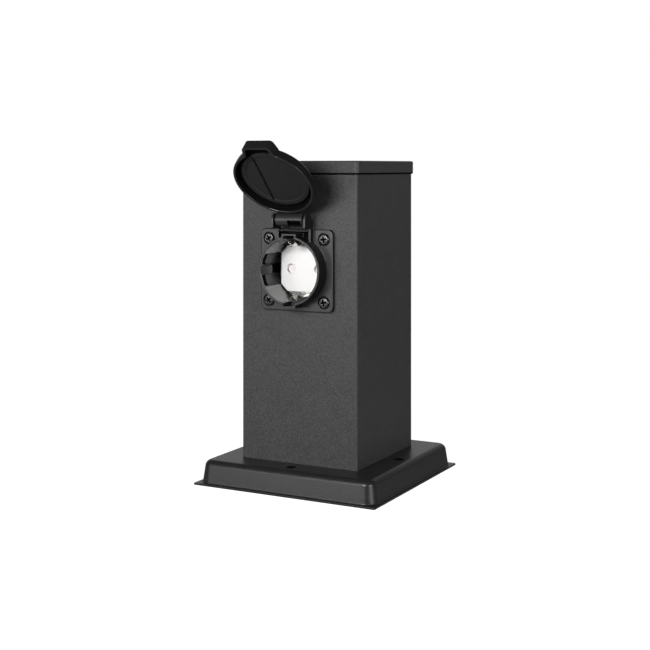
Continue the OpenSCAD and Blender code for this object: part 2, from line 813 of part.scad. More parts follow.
module socket_housing() {
    color("#1d1d1f")
    at_socket() {
        difference() {
            union() {
                translate([0, 0, -flange_t])
                    linear_extrude(flange_t) rounded_square(flange_w, flange_w, flange_r);
                translate([0, 0, floor_back]) cylinder(d = collar_d, h = collar_h - floor_back);
                earth_grooves(groove_wall_w, groove_reach, -flange_t / 2);
                ears();
            }
            translate([0, 0, floor_z]) cylinder(d = recess_d, h = collar_h - floor_z + cut);
            translate([0, 0, cut])
                earth_grooves(groove_w, groove_reach - groove_cover, -flange_t / 2 - cut);
            relief_windows();
            floor_openings();
            at_flange_screws() {
                translate([0, 0, -flange_t - cut])
                    cylinder(d = flange_screw_d + 2 * thread_gap, h = flange_t + 2 * cut);
                translate([0, 0, -head_recess])
                    cylinder(d = flange_head_d + 2 * head_gap, h = head_recess + cut);
            }
            along_x(-ear_at - ear_t - cut, hinge_rise, hinge_reach)
                cylinder(d = pin_d + 2 * pin_hold_gap, h = 2 * (ear_at + ear_t + cut));
        }
        guide_ribs();
    }
}

module flange_screws() {
    reach = flange_t - head_recess + gasket_t + tube_wall + flange_nut_h + thread_past;
    color("silver")
    at_socket() at_flange_screws() translate([0, 0, -head_recess])
        screw(flange_screw_d, reach, flange_head_d, flange_head_h, 2);
}

module flange_nuts() {
    color("silver")
    at_socket() at_flange_screws() translate([0, 0, panel_z - tube_wall - flange_nut_h])
    difference() {
        hex_bar(flange_nut_af, flange_nut_h);
        translate([0, 0, -cut]) cylinder(d = flange_screw_d + 2 * tapped_gap, h = flange_nut_h + 2 * cut);
    }
}

// Inside of the socket
module plate_outline() {
    x = plate_w / 2;
    y = plate_h / 2;
    c = plate_chamfer;
    polygon([
        [x, y - c], [x - c, y], [c - x, y], [-x, y - c],
        [-x, c - y], [c - x, -y], [x - c, -y], [x, c - y]
    ]);
}

module contact_plate() {
    room_h = shutter_room_z - floor_z;
    color("#f2f2ee")
    at_socket() {
        difference() {
            translate([0, 0, floor_z]) linear_extrude(floor_drop) plate_outline();
            translate([0, 0, floor_z - cut]) cylinder(d = shutter_d + 2 * shutter_gap, h = room_h + cut);
            for (s = [-1, 1])
                translate([s * pin_at, 0, floor_z]) cylinder(d = pin_hole_d, h = floor_drop + cut);
        }
        translate([0, 0, floor_z]) cylinder(d = pivot_d, h = room_h + plate_wall / 2);
        at_pegs() translate([0, 0, floor_back]) cylinder(d = peg_d, h = floor_t + plate_wall);
    }
}

module shutter() {
    color("#e9dcd4")
    at_socket() translate([0, 0, floor_z + shutter_gap])
    difference() {
        cylinder(d = shutter_d, h = shutter_t);
        translate([0, 0, -cut]) cylinder(d = pivot_d + 2 * pivot_gap, h = shutter_t + 2 * cut);
        for (s = [-1, 1]) rotate(shutter_turn) translate([s * pin_at, 0, -cut])
            cylinder(d = pin_hole_d + window_extra, h = shutter_t + 2 * cut);
    }
}

module shutter_spring() {
    color("silver")
    at_socket() translate([0, 0, floor_z - shutter_spring_room])
        rotate([0, -90, 0])
            coil(shutter_spring_room, shutter_spring_d, shutter_spring_wire, shutter_spring_turns);
}

module contact_carrier() {
    color("#2a2a2c")
    at_socket()
    difference() {
        union() {
            translate([-carrier_w / 2, -carrier_h / 2, carrier_back]) cube([carrier_w, carrier_h, carrier_d]);
            translate([-carrier_w / 2, -shoulder_h / 2, carrier_back])
                cube([carrier_w, shoulder_h, floor_back - carrier_back]);
        }
        for (s = [-1, 1]) translate([s * pin_at, 0, carrier_back - cut])
            cylinder(d = sleeve_d + 2 * sleeve_gap, h = carrier_d + 2 * cut);
        translate([0, 0, floor_z - shutter_spring_room])
        difference() {
            cylinder(d = shutter_spring_d + 2 * shutter_gap, h = shutter_spring_room + cut);
            translate([0, 0, -cut]) cylinder(d = shutter_post_d, h = shutter_spring_room + cut);
        }
    }
}

module clamp_block(low, high) {
    mid = (clamp_back + carrier_back) / 2;
    difference() {
        translate([-clamp_w / 2, -clamp_h / 2, low]) cube([clamp_w, clamp_h, high - low]);
        translate([0, 0, mid]) rotate([-90, 0, 0])
            cylinder(d = clamp_screw_d + 2 * tapped_gap, h = clamp_h / 2 + cut);
    }
}

module contact(x) {
    length = carrier_d - shutter_gap;
    at_socket() translate([x, 0, 0]) {
        clamp_block(clamp_back, carrier_back);
        translate([0, 0, carrier_back])
        difference() {
            cylinder(d = sleeve_d, h = length);
            cylinder(d = sleeve_bore, h = length + cut);
        }
    }
}

module line_contact() {
    color("goldenrod") contact(-pin_at);
}

module neutral_contact() {
    color("goldenrod") contact(pin_at);
}

module clip_arm() {
    low_z = carrier_back - clip_t;
    line = [
        [clip_y, low_z], [clip_y, collar_h - clip_leg],
        [clip_y - clip_bend, collar_h - clip_knee], [clip_y + clip_flare, collar_h - clip_set_back]
    ];
    inner = [for (p = line) [p[0] - clip_t / 2, p[1]]];
    outer = [for (i = [len(line) - 1 : -1 : 0]) [line[i][0] + clip_t / 2, line[i][1]]];
    base_in = plate_h / 2 + clip_base_gap;
    rotate([90, 0, 90]) translate([0, 0, -clip_w / 2])
        linear_extrude(clip_w) polygon(concat(inner, outer));
    translate([-clip_base_w / 2, base_in, floor_z]) cube([clip_base_w, clip_base_out - base_in, clip_t]);
}

module earth_clip() {
    color("#d9d6cc")
    at_socket() {
        clip_arm();
        mirror([0, 1, 0]) clip_arm();
        translate([-clip_w / 2, -clip_y, carrier_back - clip_t]) cube([clip_w, 2 * clip_y, clip_t]);
        clamp_block(clamp_back, carrier_back - clip_t);
    }
}

module contact_screws() {
    mid = (clamp_back + carrier_back) / 2;
    color("silver")
    at_socket() for (x = [-pin_at, 0, pin_at])
        translate([x, clamp_h / 2, mid]) rotate([-90, 0, 0])
            screw(clamp_screw_d, clamp_h / 2, clamp_screw_d * head_share, clamp_screw_d * head_h_share, 1);
}

module socket_back() {
    color("#1d1d1f")
    at_socket()
    difference() {
        union() {
            difference() {
                translate([0, 0, back_z]) cylinder(d = back_d, h = floor_back - back_z);
                translate([0, 0, back_in_z])
                    cylinder(d = back_d - 2 * back_wall, h = floor_back - back_in_z + cut);
            }
            intersection() {
                translate([0, 0, back_z]) cylinder(d = back_d, h = floor_back - back_z);
                at_back_screws() translate([0, 0, back_z])
                    cylinder(d = back_screw_d + 2 * back_wall, h = floor_back - back_z);
            }
        }
        at_back_screws() translate([0, 0, back_z - cut])
            cylinder(d = back_screw_d + 2 * thread_gap, h = floor_back - back_z + 2 * cut);
        for (x = [-pin_at, 0, pin_at]) translate([x, 0, back_z - cut])
            cylinder(d = wire_d + 2 * wire_gap, h = back_wall + 2 * cut);
    }
}

module back_screws() {
    color("silver")
    at_socket() at_back_screws() translate([0, 0, back_z]) mirror([0, 0, 1])
        screw(back_screw_d, floor_z - back_z - tapped_gap,
            back_screw_d * head_share, back_screw_d * head_h_share, 2);
}

// Lid and hinge
module hinge_pin() {
    color("silver")
    at_socket()
        along_x(-ear_at - ear_t, hinge_rise, hinge_reach) cylinder(d = pin_d, h = 2 * (ear_at + ear_t));
}

module lid_spring() {
    length = spring_end_x - spring_window_x;
    color("silver")
    at_lid()
        translate([spring_window_x, hinge_rise, hinge_reach])
            coil(length, spring_d, spring_wire, spring_turns);
}

module lid_section() {
    square([lid_r, lid_h - lid_edge_r]);
    square([lid_r - lid_edge_r, lid_h]);
    translate([lid_r - lid_edge_r, lid_h - lid_edge_r]) circle(lid_edge_r);
}

module tab_outline(inset) {
    root_y = -sqrt(lid_r * lid_r - tab_root * tab_root);
    end_y = -lid_r - tab_reach + inset;
    polygon([
        [tab_root - inset, root_y], [tab_end - inset, end_y],
        [inset - tab_end, end_y], [inset - tab_root, root_y]
    ]);
}

module lid_shell() {
    color("#1d1d1f")
    at_lid()
    difference() {
        union() {
            translate([0, 0, rim_z]) rotate_extrude() intersection() {
                lid_section();
                square([lid_r, lid_h]);
            }
            translate([0, 0, rim_z]) linear_extrude(tab_h) tab_outline(0);
            translate([-barrel_l / 2, lid_r - barrel_d, rim_z + barrel_d / 2 - strap_t])
                cube([barrel_l, hinge_rise - lid_r + barrel_d, strap_t]);
            along_x(-barrel_l / 2, hinge_rise, hinge_reach) cylinder(d = barrel_d, h = barrel_l);
        }
        translate([0, 0, rim_z - cut]) {
            cylinder(r = lid_r - lid_wall, h = face_in_z - rim_z + cut);
            linear_extrude(tab_h - lid_wall + cut) tab_outline(lid_wall);
        }
        along_x(-barrel_l / 2 - cut, hinge_rise, hinge_reach)
            cylinder(d = pin_d + 2 * pin_run_gap, h = barrel_l + 2 * cut);
        along_x(spring_window_x, hinge_rise, hinge_reach)
            cylinder(d = spring_room_d, h = spring_end_x - spring_window_x);
        translate([spring_window_x, hinge_rise - spring_window_w / 2, rim_z - barrel_d])
            cube([spring_end_x - spring_window_x, spring_window_w, barrel_d]);
    }
}

module lid_seal() {
    groove_z = (seal_z + seal_sink + face_in_z) / 2;
    color("#262628")
    at_lid()
    difference() {
        translate([0, 0, seal_z]) cylinder(r = seal_r, h = face_in_z - seal_z);
        translate([0, 0, seal_z - cut]) cylinder(r = seal_r - seal_ring_w, h = seal_sink + cut);
        translate([-seal_groove_x - seal_groove_w / 2, seal_ring_w - seal_r, seal_z - cut])
            cube([seal_groove_w, 2 * (seal_r - seal_ring_w), groove_z - seal_z + cut]);
    }
}

// Wiring
module along_y() {
    rotate([-90, 0, 0]) children();
}

module at_block_screws(y) {
    for (s = [-1, 1]) translate([s * pole_pitch / 2, y, block_mid]) children();
}

module at_clamp_screws(y) {
    for (i = [-1 : 1], s = [-1, 1])
        translate([i * pole_pitch, y, block_mid + s * block_clamp_pitch / 2]) children();
}

// From a clamp block straight back out of the rear cover, then down to the block's pole
function wire_route(x, pole_x) = [
    [x, clamp_y, socket_z],
    [x, clamp_y + wire_lead, socket_z],
    [x, clamp_y + wire_straight, socket_z],
    [(x + pole_x) / 2, (clamp_y + wire_straight + pole_y) / 2, socket_z - wire_fall],
    [pole_x, pole_y, socket_z - 2 * wire_fall],
    [pole_x, pole_y, block_top + wire_straight],
    [pole_x, pole_y, block_top - pole_sink]
];

module wire(route, ref) {
    path = curve(route, wire_steps);
    swept_tube(path, [for (p = path) ref], wire_d, wire_sides);
}

module line_wire() {
    color("saddlebrown") wire(wire_route(-pin_at, -pole_pitch), [1, 0, 0]);
}

module neutral_wire() {
    color("royalblue") wire(wire_route(pin_at, pole_pitch), [1, 0, 0]);
}

module earth_wire() {
    color("yellowgreen") wire(wire_route(0, 0), [1, 0, 0]);
}

module terminal_block() {
    color("#e8e6de")
    difference() {
        translate([-block_w / 2, leg_y - block_d, block_low]) cube([block_w, block_d, block_h]);
        for (i = [-1 : 1]) translate([i * pole_pitch, pole_y, block_low - cut])
            cylinder(d = pole_d + 2 * pole_gap, h = block_h + 2 * cut);
        at_clamp_screws(leg_y - block_d - cut) along_y()
            cylinder(d = block_clamp_d + 2 * thread_gap, h = block_d - pole_in + cut);
        at_block_screws(leg_y - block_d - cut) along_y()
            cylinder(d = block_fix_d + 2 * thread_gap, h = block_d + 2 * cut);
    }
}

module terminal_tubes() {
    length = block_h - 2 * pole_sink;
    color("goldenrod")
    difference() {
        for (i = [-1 : 1])
            translate([i * pole_pitch, pole_y, block_low + pole_sink]) cylinder(d = pole_d, h = length);
        for (i = [-1 : 1]) translate([i * pole_pitch, pole_y, block_low])
            cylinder(d = pole_bore, h = block_h);
        at_clamp_screws(pole_y - pole_d) along_y() cylinder(d = block_clamp_d + 2 * tapped_gap, h = pole_d);
    }
}

module clamp_screws() {
    length = block_d - pole_in - pole_bore / 2;
    color("silver")
    at_clamp_screws(leg_y - block_d + pole_sink) along_y()
    difference() {
        cylinder(d = block_clamp_d, h = length - pole_sink);
        cube([block_clamp_d + cut, block_clamp_d * drive_share, block_clamp_d / 2], center = true);
    }
}

module block_screws() {
    color("silver")
    at_block_screws(leg_y - block_d) mirror([0, 1, 0]) along_y()
        screw(block_fix_d, block_d + bracket_t, block_fix_d * head_share, block_fix_d * head_h_share, 2);
}

module bond_screw() {
    color("silver")
    translate([bond_x, leg_y - lug_t, bond_at_z]) mirror([0, 1, 0]) along_y()
        screw(bond_screw_d, lug_t + bracket_t, bond_screw_d * head_share, bond_screw_d * head_h_share, 2);
}

module bond_lug() {
    color("#d0cfc8")
    difference() {
        union() {
            translate([bond_x, leg_y - lug_t, bond_at_z]) along_y() cylinder(d = lug_d, h = lug_t);
            translate([lug_end_x + lug_barrel_l / 2, leg_y - lug_t, bond_at_z - lug_barrel_d / 2])
                cube([bond_x - lug_end_x - lug_barrel_l / 2, lug_t, lug_barrel_d]);
            along_x(lug_end_x, lug_y, bond_at_z) cylinder(d = lug_barrel_d, h = lug_barrel_l);
        }
        translate([bond_x, leg_y - lug_t - cut, bond_at_z])
            along_y() cylinder(d = bond_screw_d + 2 * thread_gap, h = lug_t + 2 * cut);
    }
}

module bond_wire() {
    color("yellowgreen") wire(bond_route, [0, 1, 0]);
}

// Cable gland
module gland_body() {
    hex_top = foot_h + gland_hex_h;
    low = foot_under - locknut_h - gland_past;
    color("#303032")
    difference() {
        union() {
            translate([0, 0, low]) cylinder(d = gland_d, h = foot_h - low);
            translate([0, 0, foot_h]) hex_bar(gland_af, gland_hex_h);
            translate([0, 0, hex_top]) cylinder(d = gland_neck_d, h = gland_neck_h);
        }
        translate([0, 0, low - cut]) cylinder(d = gland_low_bore, h = hex_top - low + 2 * cut);
        translate([0, 0, hex_top]) cylinder(d = gland_bore, h = gland_neck_h + cut);
    }
}

module gland_locknut() {
    color("#303032")
    translate([0, 0, foot_under - locknut_h])
    difference() {
        hex_bar(locknut_af, locknut_h);
        translate([0, 0, -cut]) cylinder(d = gland_d + 2 * tapped_gap, h = locknut_h + 2 * cut);
    }
}

module gland_seal() {
    length = dome_h - dome_wall;
    color("#161616")
    translate([0, 0, foot_h + gland_hex_h])
    difference() {
        cylinder(d = gland_bore - 2 * tapped_gap, h = length);
        translate([0, 0, -cut]) cylinder(d = cable_d, h = length + 2 * cut);
    }
}

module gland_dome() {
    color("#303032")
    translate([0, 0, foot_h + gland_hex_h])
    difference() {
        cylinder(d = dome_d, h = dome_h);
        translate([0, 0, -cut]) cylinder(d = gland_neck_d + 2 * tapped_gap, h = dome_h - dome_wall + cut);
        cylinder(d = gland_low_bore, h = dome_h + cut);
    }
}

echo("lid_spring least gap", least_gap(
    coil_path(spring_end_x - spring_window_x, (spring_d - spring_wire) / 2,
        spring_turns, spring_wire), spring_wire));
echo("shutter_spring least gap", least_gap(
    coil_path(shutter_spring_room, (shutter_spring_d - shutter_spring_wire) / 2,
        shutter_spring_turns, shutter_spring_wire), shutter_spring_wire));

foot_plate();
foot_bracket();
foot_screws();
post_tube();
cap_seal();
top_cap();
flange_gasket();
socket_housing();
flange_screws();
flange_nuts();
contact_plate();
shutter();
shutter_spring();
contact_carrier();
line_contact();
neutral_contact();
earth_clip();
contact_screws();
socket_back();
back_screws();
hinge_pin();
lid_spring();
lid_shell();
lid_seal();
line_wire();
neutral_wire();
earth_wire();
terminal_block();
terminal_tubes();
clamp_screws();
block_screws();
bond_screw();
bond_lug();
bond_wire();
gland_body();
gland_locknut();
gland_seal();
gland_dome();
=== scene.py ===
import json
import math

import bpy
from mathutils import Matrix, Vector


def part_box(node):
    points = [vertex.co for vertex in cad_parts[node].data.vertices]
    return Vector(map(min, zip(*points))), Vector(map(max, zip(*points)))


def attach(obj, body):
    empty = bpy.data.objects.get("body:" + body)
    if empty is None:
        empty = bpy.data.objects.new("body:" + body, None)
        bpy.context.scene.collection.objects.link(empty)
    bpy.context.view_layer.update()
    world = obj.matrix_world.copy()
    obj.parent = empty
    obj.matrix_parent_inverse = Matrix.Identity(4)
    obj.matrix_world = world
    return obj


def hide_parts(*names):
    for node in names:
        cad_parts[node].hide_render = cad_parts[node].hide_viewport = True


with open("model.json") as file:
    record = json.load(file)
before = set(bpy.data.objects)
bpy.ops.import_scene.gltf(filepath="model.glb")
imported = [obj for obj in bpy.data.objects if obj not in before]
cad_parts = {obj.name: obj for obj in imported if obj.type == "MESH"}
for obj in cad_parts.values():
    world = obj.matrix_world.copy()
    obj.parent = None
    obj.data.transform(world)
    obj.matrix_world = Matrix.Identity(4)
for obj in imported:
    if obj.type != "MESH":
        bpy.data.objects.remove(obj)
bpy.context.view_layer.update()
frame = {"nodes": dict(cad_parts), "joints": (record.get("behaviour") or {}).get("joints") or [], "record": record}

# Sizes in metres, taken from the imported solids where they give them
MM = 0.001
TINY = 0.05 * MM
PAST = 1 * MM
WELD = 0.001 * MM
SLIVER = 0.02 * MM

# Angles in degrees between faces that count as flat, as creased, as bent sheet and as wire
FLAT_ANGLE = 0.5
CREASE_ANGLE = 35
SHEET_ANGLE = 40
WIRE_ANGLE = 60

# Height of a normal below which a face counts as steep or as upright
STEEP = 0.5
UPRIGHT = 0.3

# Foot
foot_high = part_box("foot_plate")[1]
FOOT_SHEET = 1.2 * MM
LIP_W = 1.8 * MM
LIP_R = 1 * MM
WALL_R = 8 * MM
WALL_SLOPE = math.tan(math.radians(9))
WALL_TURN = math.radians(81)
FOOT_EDGE_R = 4 * MM
FOOT_FILLET_R = 1 * MM
ANCHOR_R = 3 * MM
ANCHOR_AT = 49 * MM
ANCHOR_PLACES = ((ANCHOR_AT, 0), (-ANCHOR_AT, 0), (0, ANCHOR_AT), (0, -ANCHOR_AT))
FOOT_SCREW_R = 2.7 * MM
FOOT_SCREW_AT = 28 * MM
GLAND_R = 10.2 * MM
FOOT_BREAK = 0.18 * MM

# Post tube
tube_low, tube_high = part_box("post_tube")
TUBE_R = 1.2 * MM
TUBE_WALL = 1.5 * MM
TUBE_BREAK = 0.12 * MM

# Cap
cap_low, cap_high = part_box("top_cap")
CAP_R = 2.2 * MM
CAP_EDGE_R = 1.1 * MM
CAP_SHEET = 1 * MM
CAP_HEM_R = 1.1 * MM
CAP_BREAK = 0.1 * MM

# Gasket, flange and flange screws, with each screw's corner and its turn in degrees
gasket_low, gasket_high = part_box("flange_gasket")
GASKET_T = gasket_high.y - gasket_low.y
FLANGE_T = 2.2 * MM
FLANGE_W = gasket_high.x - gasket_low.x
FLANGE_R = 3.5 * MM
FLANGE_EDGE_R = 0.7 * MM
CUTOUT_R = 21.5 * MM
SCREW_AT = 19 * MM
SCREW_HOLE_R = 2.2 * MM
SCREW_SINK = 1.4 * MM
SCREW_SINK_R = 4 * MM
SCREW_HEAD_H = 2.4 * MM
SCREW_HEAD_R = 3.5 * MM
SCREW_DOME_R = 1.2 * MM
SCREW_CROWN_R = 1.4 * MM
SCREW_SHANK_R = 2 * MM
SCREW_PAST_WALL = 4 * MM
SCREW_TURNS = ((-1, -1, 38), (-1, 1, 30), (1, -1, 8), (1, 1, 8))
SCREW_BREAK = 0.1 * MM
CROSS_HALF_L = 2.6 * MM
CROSS_HALF_W = 0.65 * MM
CROSS_DEEP = 1.5 * MM
CROSS_TAPER = (0.45, 0.6, 1)
GASKET_BREAK = 0.3 * MM

# Collar and recess
COLLAR_R = 21 * MM
COLLAR_H = 9.8 * MM
RECESS_R = 19.5 * MM
COLLAR_MID_R = (COLLAR_R + RECESS_R) / 2
PLATE_Z = COLLAR_H - 20.4 * MM
FLOOR_Z = PLATE_Z - 4 * MM
FLOOR_BACK = FLOOR_Z - 2 * MM
GROOVE_WALL_W = 9.6 * MM
GROOVE_W = 7.5 * MM
GROOVE_REACH = 22.4 * MM
GROOVE_COVER = 1.1 * MM
GROOVE_SET_BACK = 0.12 * MM
GROOVE_START = 0.9 * RECESS_R
RIB_H = 5.6 * MM
RIB_IN = 2.2 * MM
RIB_SET_BACK = 0.8 * MM
RIB_L = 10 * MM
RIB_LEAD = 4.6 * MM
RIB_TOP = COLLAR_H - RIB_SET_BACK
RIB_END = RIB_TOP - RIB_L
RELIEF_H = 7 * MM
RELIEF_IN = 0.8 * MM
RELIEF_R = RECESS_R + RELIEF_IN
RELIEF_TOP = COLLAR_H - 1.4 * MM
LATCH_R = RECESS_R + 1.2 * MM
LATCH_L = 5 * MM
CUP_EDGE_R = 0.4 * MM
RIM_STRIP = 0.3 * MM
CLIP_SLOT_HALF = 2.8 * MM
CLIP_SLOT_ROOM = 0.3 * MM
CARRIER_WAY = (13.5 * MM, 9.7 * MM)
HOUSING_BREAK = 0.18 * MM

# Hinge
hinge = next(j for j in frame["joints"] if j["name"] == "lid_hinge")
SOCKET_Z = (gasket_low.z + gasket_high.z) / 2
FLANGE_Y = gasket_low.y - FLANGE_T
HINGE_RISE = hinge["pos_m"][2] - SOCKET_Z
HINGE_REACH = FLANGE_Y - hinge["pos_m"][1]
LID_OPEN = math.radians(135)
BARREL_R = 3.9 * MM
STRAP_T = 1.9 * MM
BARREL_HALF = 9.1 * MM
BARREL_SKIN = 0.3 * MM
STRAP_STEP = 0.15 * MM
EAR_AT = 10.3 * MM
EAR_T = 1.5 * MM
EAR_R = 4 * MM
EAR_TOE = 1.2 * MM
EAR_NECK = 0.5 * MM
EAR_BEVEL = 0.8 * MM
PEDESTAL_H = 3.4 * MM
PEDESTAL_Y = 17.6 * MM
PEDESTAL_IN = FLANGE_W / 2 - 1.2 * MM
PEDESTAL_SLOPE = 0.5 * MM
HINGE_POCKET_SINK = 0.5 * MM
PIN_R = 1.15 * MM
PIN_RUN_R = 1.21 * MM
PIN_END = 0.35 * MM

# Lid, its seal and its spring
LID_R = 25.25 * MM
LID_WALL = 1.6 * MM
LID_H = 7 * MM
LID_FACE_T = 2 * MM
LID_EDGE_R = 3 * MM
LID_RIM_R = 0.5 * MM
LID_BREAK = 0.2 * MM
TAB_END = 9 * MM
TAB_ROOT = 10.6 * MM
TAB_REACH = 4.4 * MM
TAB_H = 6.6 * MM
TAB_R = 4 * MM
TAB_OVERLAP = 2 * MM
TAB_EDGE_R = 0.5 * MM
SEAL_Z = COLLAR_H + 0.3 * MM
SEAL_R = 21.4 * MM
SEAL_RING_W = 2.6 * MM
SEAL_SINK = 0.5 * MM
SEAL_CUT = 0.4 * MM
SEAL_GROOVE_X = 8 * MM
SEAL_GROOVE_W = 0.8 * MM
SEAL_BREAK = 0.25 * MM
SPRING_LOW_X = -0.7 * MM
SPRING_HIGH_X = 8.3 * MM
SPRING_ROOM_R = 2.8 * MM
SPRING_R = 2.2 * MM
SPRING_WIRE_R = 0.3 * MM
SPRING_TURNS = 6
RING_STEPS = 24
SPRING_WINDOW_W = 5 * MM

# Contact plate
PLATE_W = 33.4 * MM
PLATE_H = 28.6 * MM
PLATE_CHAMFER = 4.6 * MM
PLATE_WALL = 1.4 * MM
SHUTTER_ROOM_R = 13.15 * MM
PIN_AT = 9.5 * MM
PIN_HOLE_R = 2.8 * MM
PIVOT_R = 2 * MM
LEAD_IN = 0.2 * MM
PLATE_EDGE_R = 0.5 * MM
PLATE_BREAK = 0.25 * MM

# Earth clip and its clamp
CLIP_W = 5 * MM
CLIP_T = 0.8 * MM
CLIP_Y = 17 * MM
CLIP_KNEE = 8.5 * MM
CLIP_LEG = 14 * MM
CLIP_BEND = 2.2 * MM
CLIP_TIP = 4.5 * MM
CLIP_FLARE = 0.8 * MM
CLIP_CREASE = 2 * MM
CLIP_BASE_W = 7.8 * MM
CLIP_BASE_OUT = 18.6 * MM
CLIP_BASE_GAP = 0.4 * MM
CLIP_SLIT = 0.3 * MM
CLIP_SLIT_IN = 1.6 * MM
CLIP_BREAK = 0.12 * MM
CARRIER_BACK = FLOOR_Z - 12 * MM
CLAMP_W = 7 * MM
CLAMP_H = 8 * MM
CLAMP_BACK = CARRIER_BACK - 7 * MM

# Shutter spring and wires
SHUTTER_WIRE_R = 0.2 * MM
SHUTTER_SPRING_TURNS = 3
WIRE_R = 1.4 * MM
WIRE_LEAD = 4 * MM
WIRE_STRAIGHT = 10 * MM
WIRE_FALL = 13 * MM
POLE_PITCH = 10 * MM
BOND_LEAD = 3 * MM
BOND_RISE = 6 * MM


# Hands on the bench: starting, choosing, cutting and finishing a piece
def only(piece):
    """Leaves one piece selected and active, in object mode."""
    if bpy.context.mode != "OBJECT":
        bpy.ops.object.mode_set(mode="OBJECT")
    bpy.ops.object.select_all(action="DESELECT")
    if piece:
        piece.select_set(True)
        bpy.context.view_layer.objects.active = piece


def begin(name, adder, **sizes):
    """Adds a primitive at its size and place and puts that place into its mesh."""
    only(None)
    scale = sizes.pop("scale", (1, 1, 1))
    adder(**sizes)
    piece = bpy.context.object
    piece.name = name
    piece.scale = scale
    bpy.ops.object.transform_apply(location=True, rotation=True, scale=True)
    return piece


def choose(piece, kind, test, upright=False):
    """Goes into edit mode with the parts selected whose points all pass a test, upright where asked."""
    only(piece)
    bpy.context.tool_settings.mesh_select_mode = [kind == k for k in ("VERT", "EDGE", "FACE")]
    mesh = piece.data
    for group in (mesh.vertices, mesh.edges, mesh.polygons):
        group.foreach_set("select", [False] * len(group))
    group = {"VERT": mesh.vertices, "EDGE": mesh.edges, "FACE": mesh.polygons}[kind]
    for item in group:
        points = [item.co] if kind == "VERT" else [mesh.vertices[i].co for i in item.vertices]
        item.select = all(test(p) for p in points) and not (upright and near(points[0].z, points[1].z))
    bpy.ops.object.mode_set(mode="EDIT")


def choose_all(piece):
    choose(piece, "VERT", lambda p: True)


def near(a, b):
    return abs(a - b) < TINY


def tidy_mesh(piece):
    """Merges doubles and turns all faces outwards."""
    choose_all(piece)
    bpy.ops.mesh.remove_doubles(threshold=WELD)
    bpy.ops.mesh.normals_make_consistent(inside=False)
    bpy.ops.object.mode_set(mode="OBJECT")
    return piece


def round_edges(piece, test, radius, segments, upright=False):
    """Rounds the edges whose ends both pass a test."""
    choose(piece, "EDGE", test, upright)
    bpy.ops.mesh.bevel(offset=radius, segments=segments, affect="EDGES")
    bpy.ops.object.mode_set(mode="OBJECT")


def corners(at):
    """The four corners of a square round the middle."""
    return [(x, y) for x in (-at, at) for y in (-at, at)]


def block(name, low, high):
    middle = [(a + b) / 2 for a, b in zip(low, high)]
    size = [b - a for a, b in zip(low, high)]
    return begin(name, bpy.ops.mesh.primitive_cube_add, size=1, location=middle, scale=size)


def rod(name, radius, low, high, at=(0, 0), sides=64, along="Z"):
    """A round bar between two heights on the axis that it runs along."""
    middle = (low + high) / 2
    place = {"X": (middle, at[0], at[1]), "Y": (at[0], middle, at[1]), "Z": (at[0], at[1], middle)}[along]
    turn = {"X": (0, math.pi / 2, 0), "Y": (math.pi / 2, 0, 0), "Z": (0, 0, 0)}[along]
    return begin(name, bpy.ops.mesh.primitive_cylinder_add, vertices=sides, radius=radius,
                 depth=high - low, location=place, rotation=turn)


def rounded_plate(name, width, height, radius, low, high, steps=8):
    """A flat plate in XY with round corners, between two heights."""
    piece = begin(name, bpy.ops.mesh.primitive_plane_add, size=1, location=(0, 0, low),
                  scale=(width, height, 1))
    choose_all(piece)
    bpy.ops.mesh.bevel(offset=radius, segments=steps, affect="VERTICES")
    bpy.ops.mesh.select_all(action="SELECT")
    bpy.ops.mesh.extrude_region_move(TRANSFORM_OT_translate={"value": (0, 0, high - low)})
    return tidy_mesh(piece)


def drawn_line(name, points):
    """A chain of edges through points, drawn from one vertex."""
    piece = begin(name, bpy.ops.mesh.primitive_plane_add, size=MM)
    choose_all(piece)
    bpy.ops.mesh.merge(type="CENTER")
    bpy.ops.transform.translate(value=points[0])
    for a, b in zip(points, points[1:]):
        step = Vector(b) - Vector(a)
        bpy.ops.mesh.extrude_vertices_move(TRANSFORM_OT_translate={"value": step})
    return piece


def drawn_plate(name, points, push):
    """A flat plate with a drawn outline, pushed out to its thickness."""
    piece = drawn_line(name, points)
    bpy.ops.mesh.select_all(action="SELECT")
    bpy.ops.mesh.edge_face_add()
    bpy.ops.mesh.extrude_region_move(TRANSFORM_OT_translate={"value": push})
    return tidy_mesh(piece)


def lathe(name, profile, steps=96, along="Z"):
    """A drawn profile of (radius, height) points, spun round its axis."""
    if along == "Z":
        piece = drawn_line(name, [(r, 0, h) for r, h in profile])
    else:
        piece = drawn_line(name, [(h, 0, r) for r, h in profile])
    axis = (0, 0, 1) if along == "Z" else (1, 0, 0)
    bpy.ops.mesh.select_all(action="SELECT")
    bpy.ops.mesh.spin(steps=steps, angle=2 * math.pi, center=(0, 0, 0), axis=axis)
    return tidy_mesh(piece)


def arc(middle, radius, start, end, steps):
    """Points along a round stretch, with angles in degrees."""
    turns = [math.radians(start + (end - start) * i / steps) for i in range(steps + 1)]
    return [(middle[0] + radius * math.cos(t), middle[1] + radius * math.sin(t)) for t in turns]


def finish_step(piece, kind, **settings):
    """Adds one modifier to a piece and applies it."""
    step = piece.modifiers.new(kind.lower(), kind)
    for name, value in settings.items():
        setattr(step, name, value)
    only(piece)
    bpy.ops.object.modifier_apply(modifier=step.name)
    return piece


def cut(piece, *tools):
    for tool in tools:
        finish_step(piece, "BOOLEAN", operation="DIFFERENCE", object=tool, solver="EXACT")
        bpy.data.objects.remove(tool)
    return piece


def add(piece, *tools):
    for tool in tools:
        finish_step(piece, "BOOLEAN", operation="UNION", object=tool, solver="EXACT")
        bpy.data.objects.remove(tool)
    return piece


def keep_inside(piece, tool):
    finish_step(piece, "BOOLEAN", operation="INTERSECT", object=tool, solver="EXACT")
    bpy.data.objects.remove(tool)
    return piece


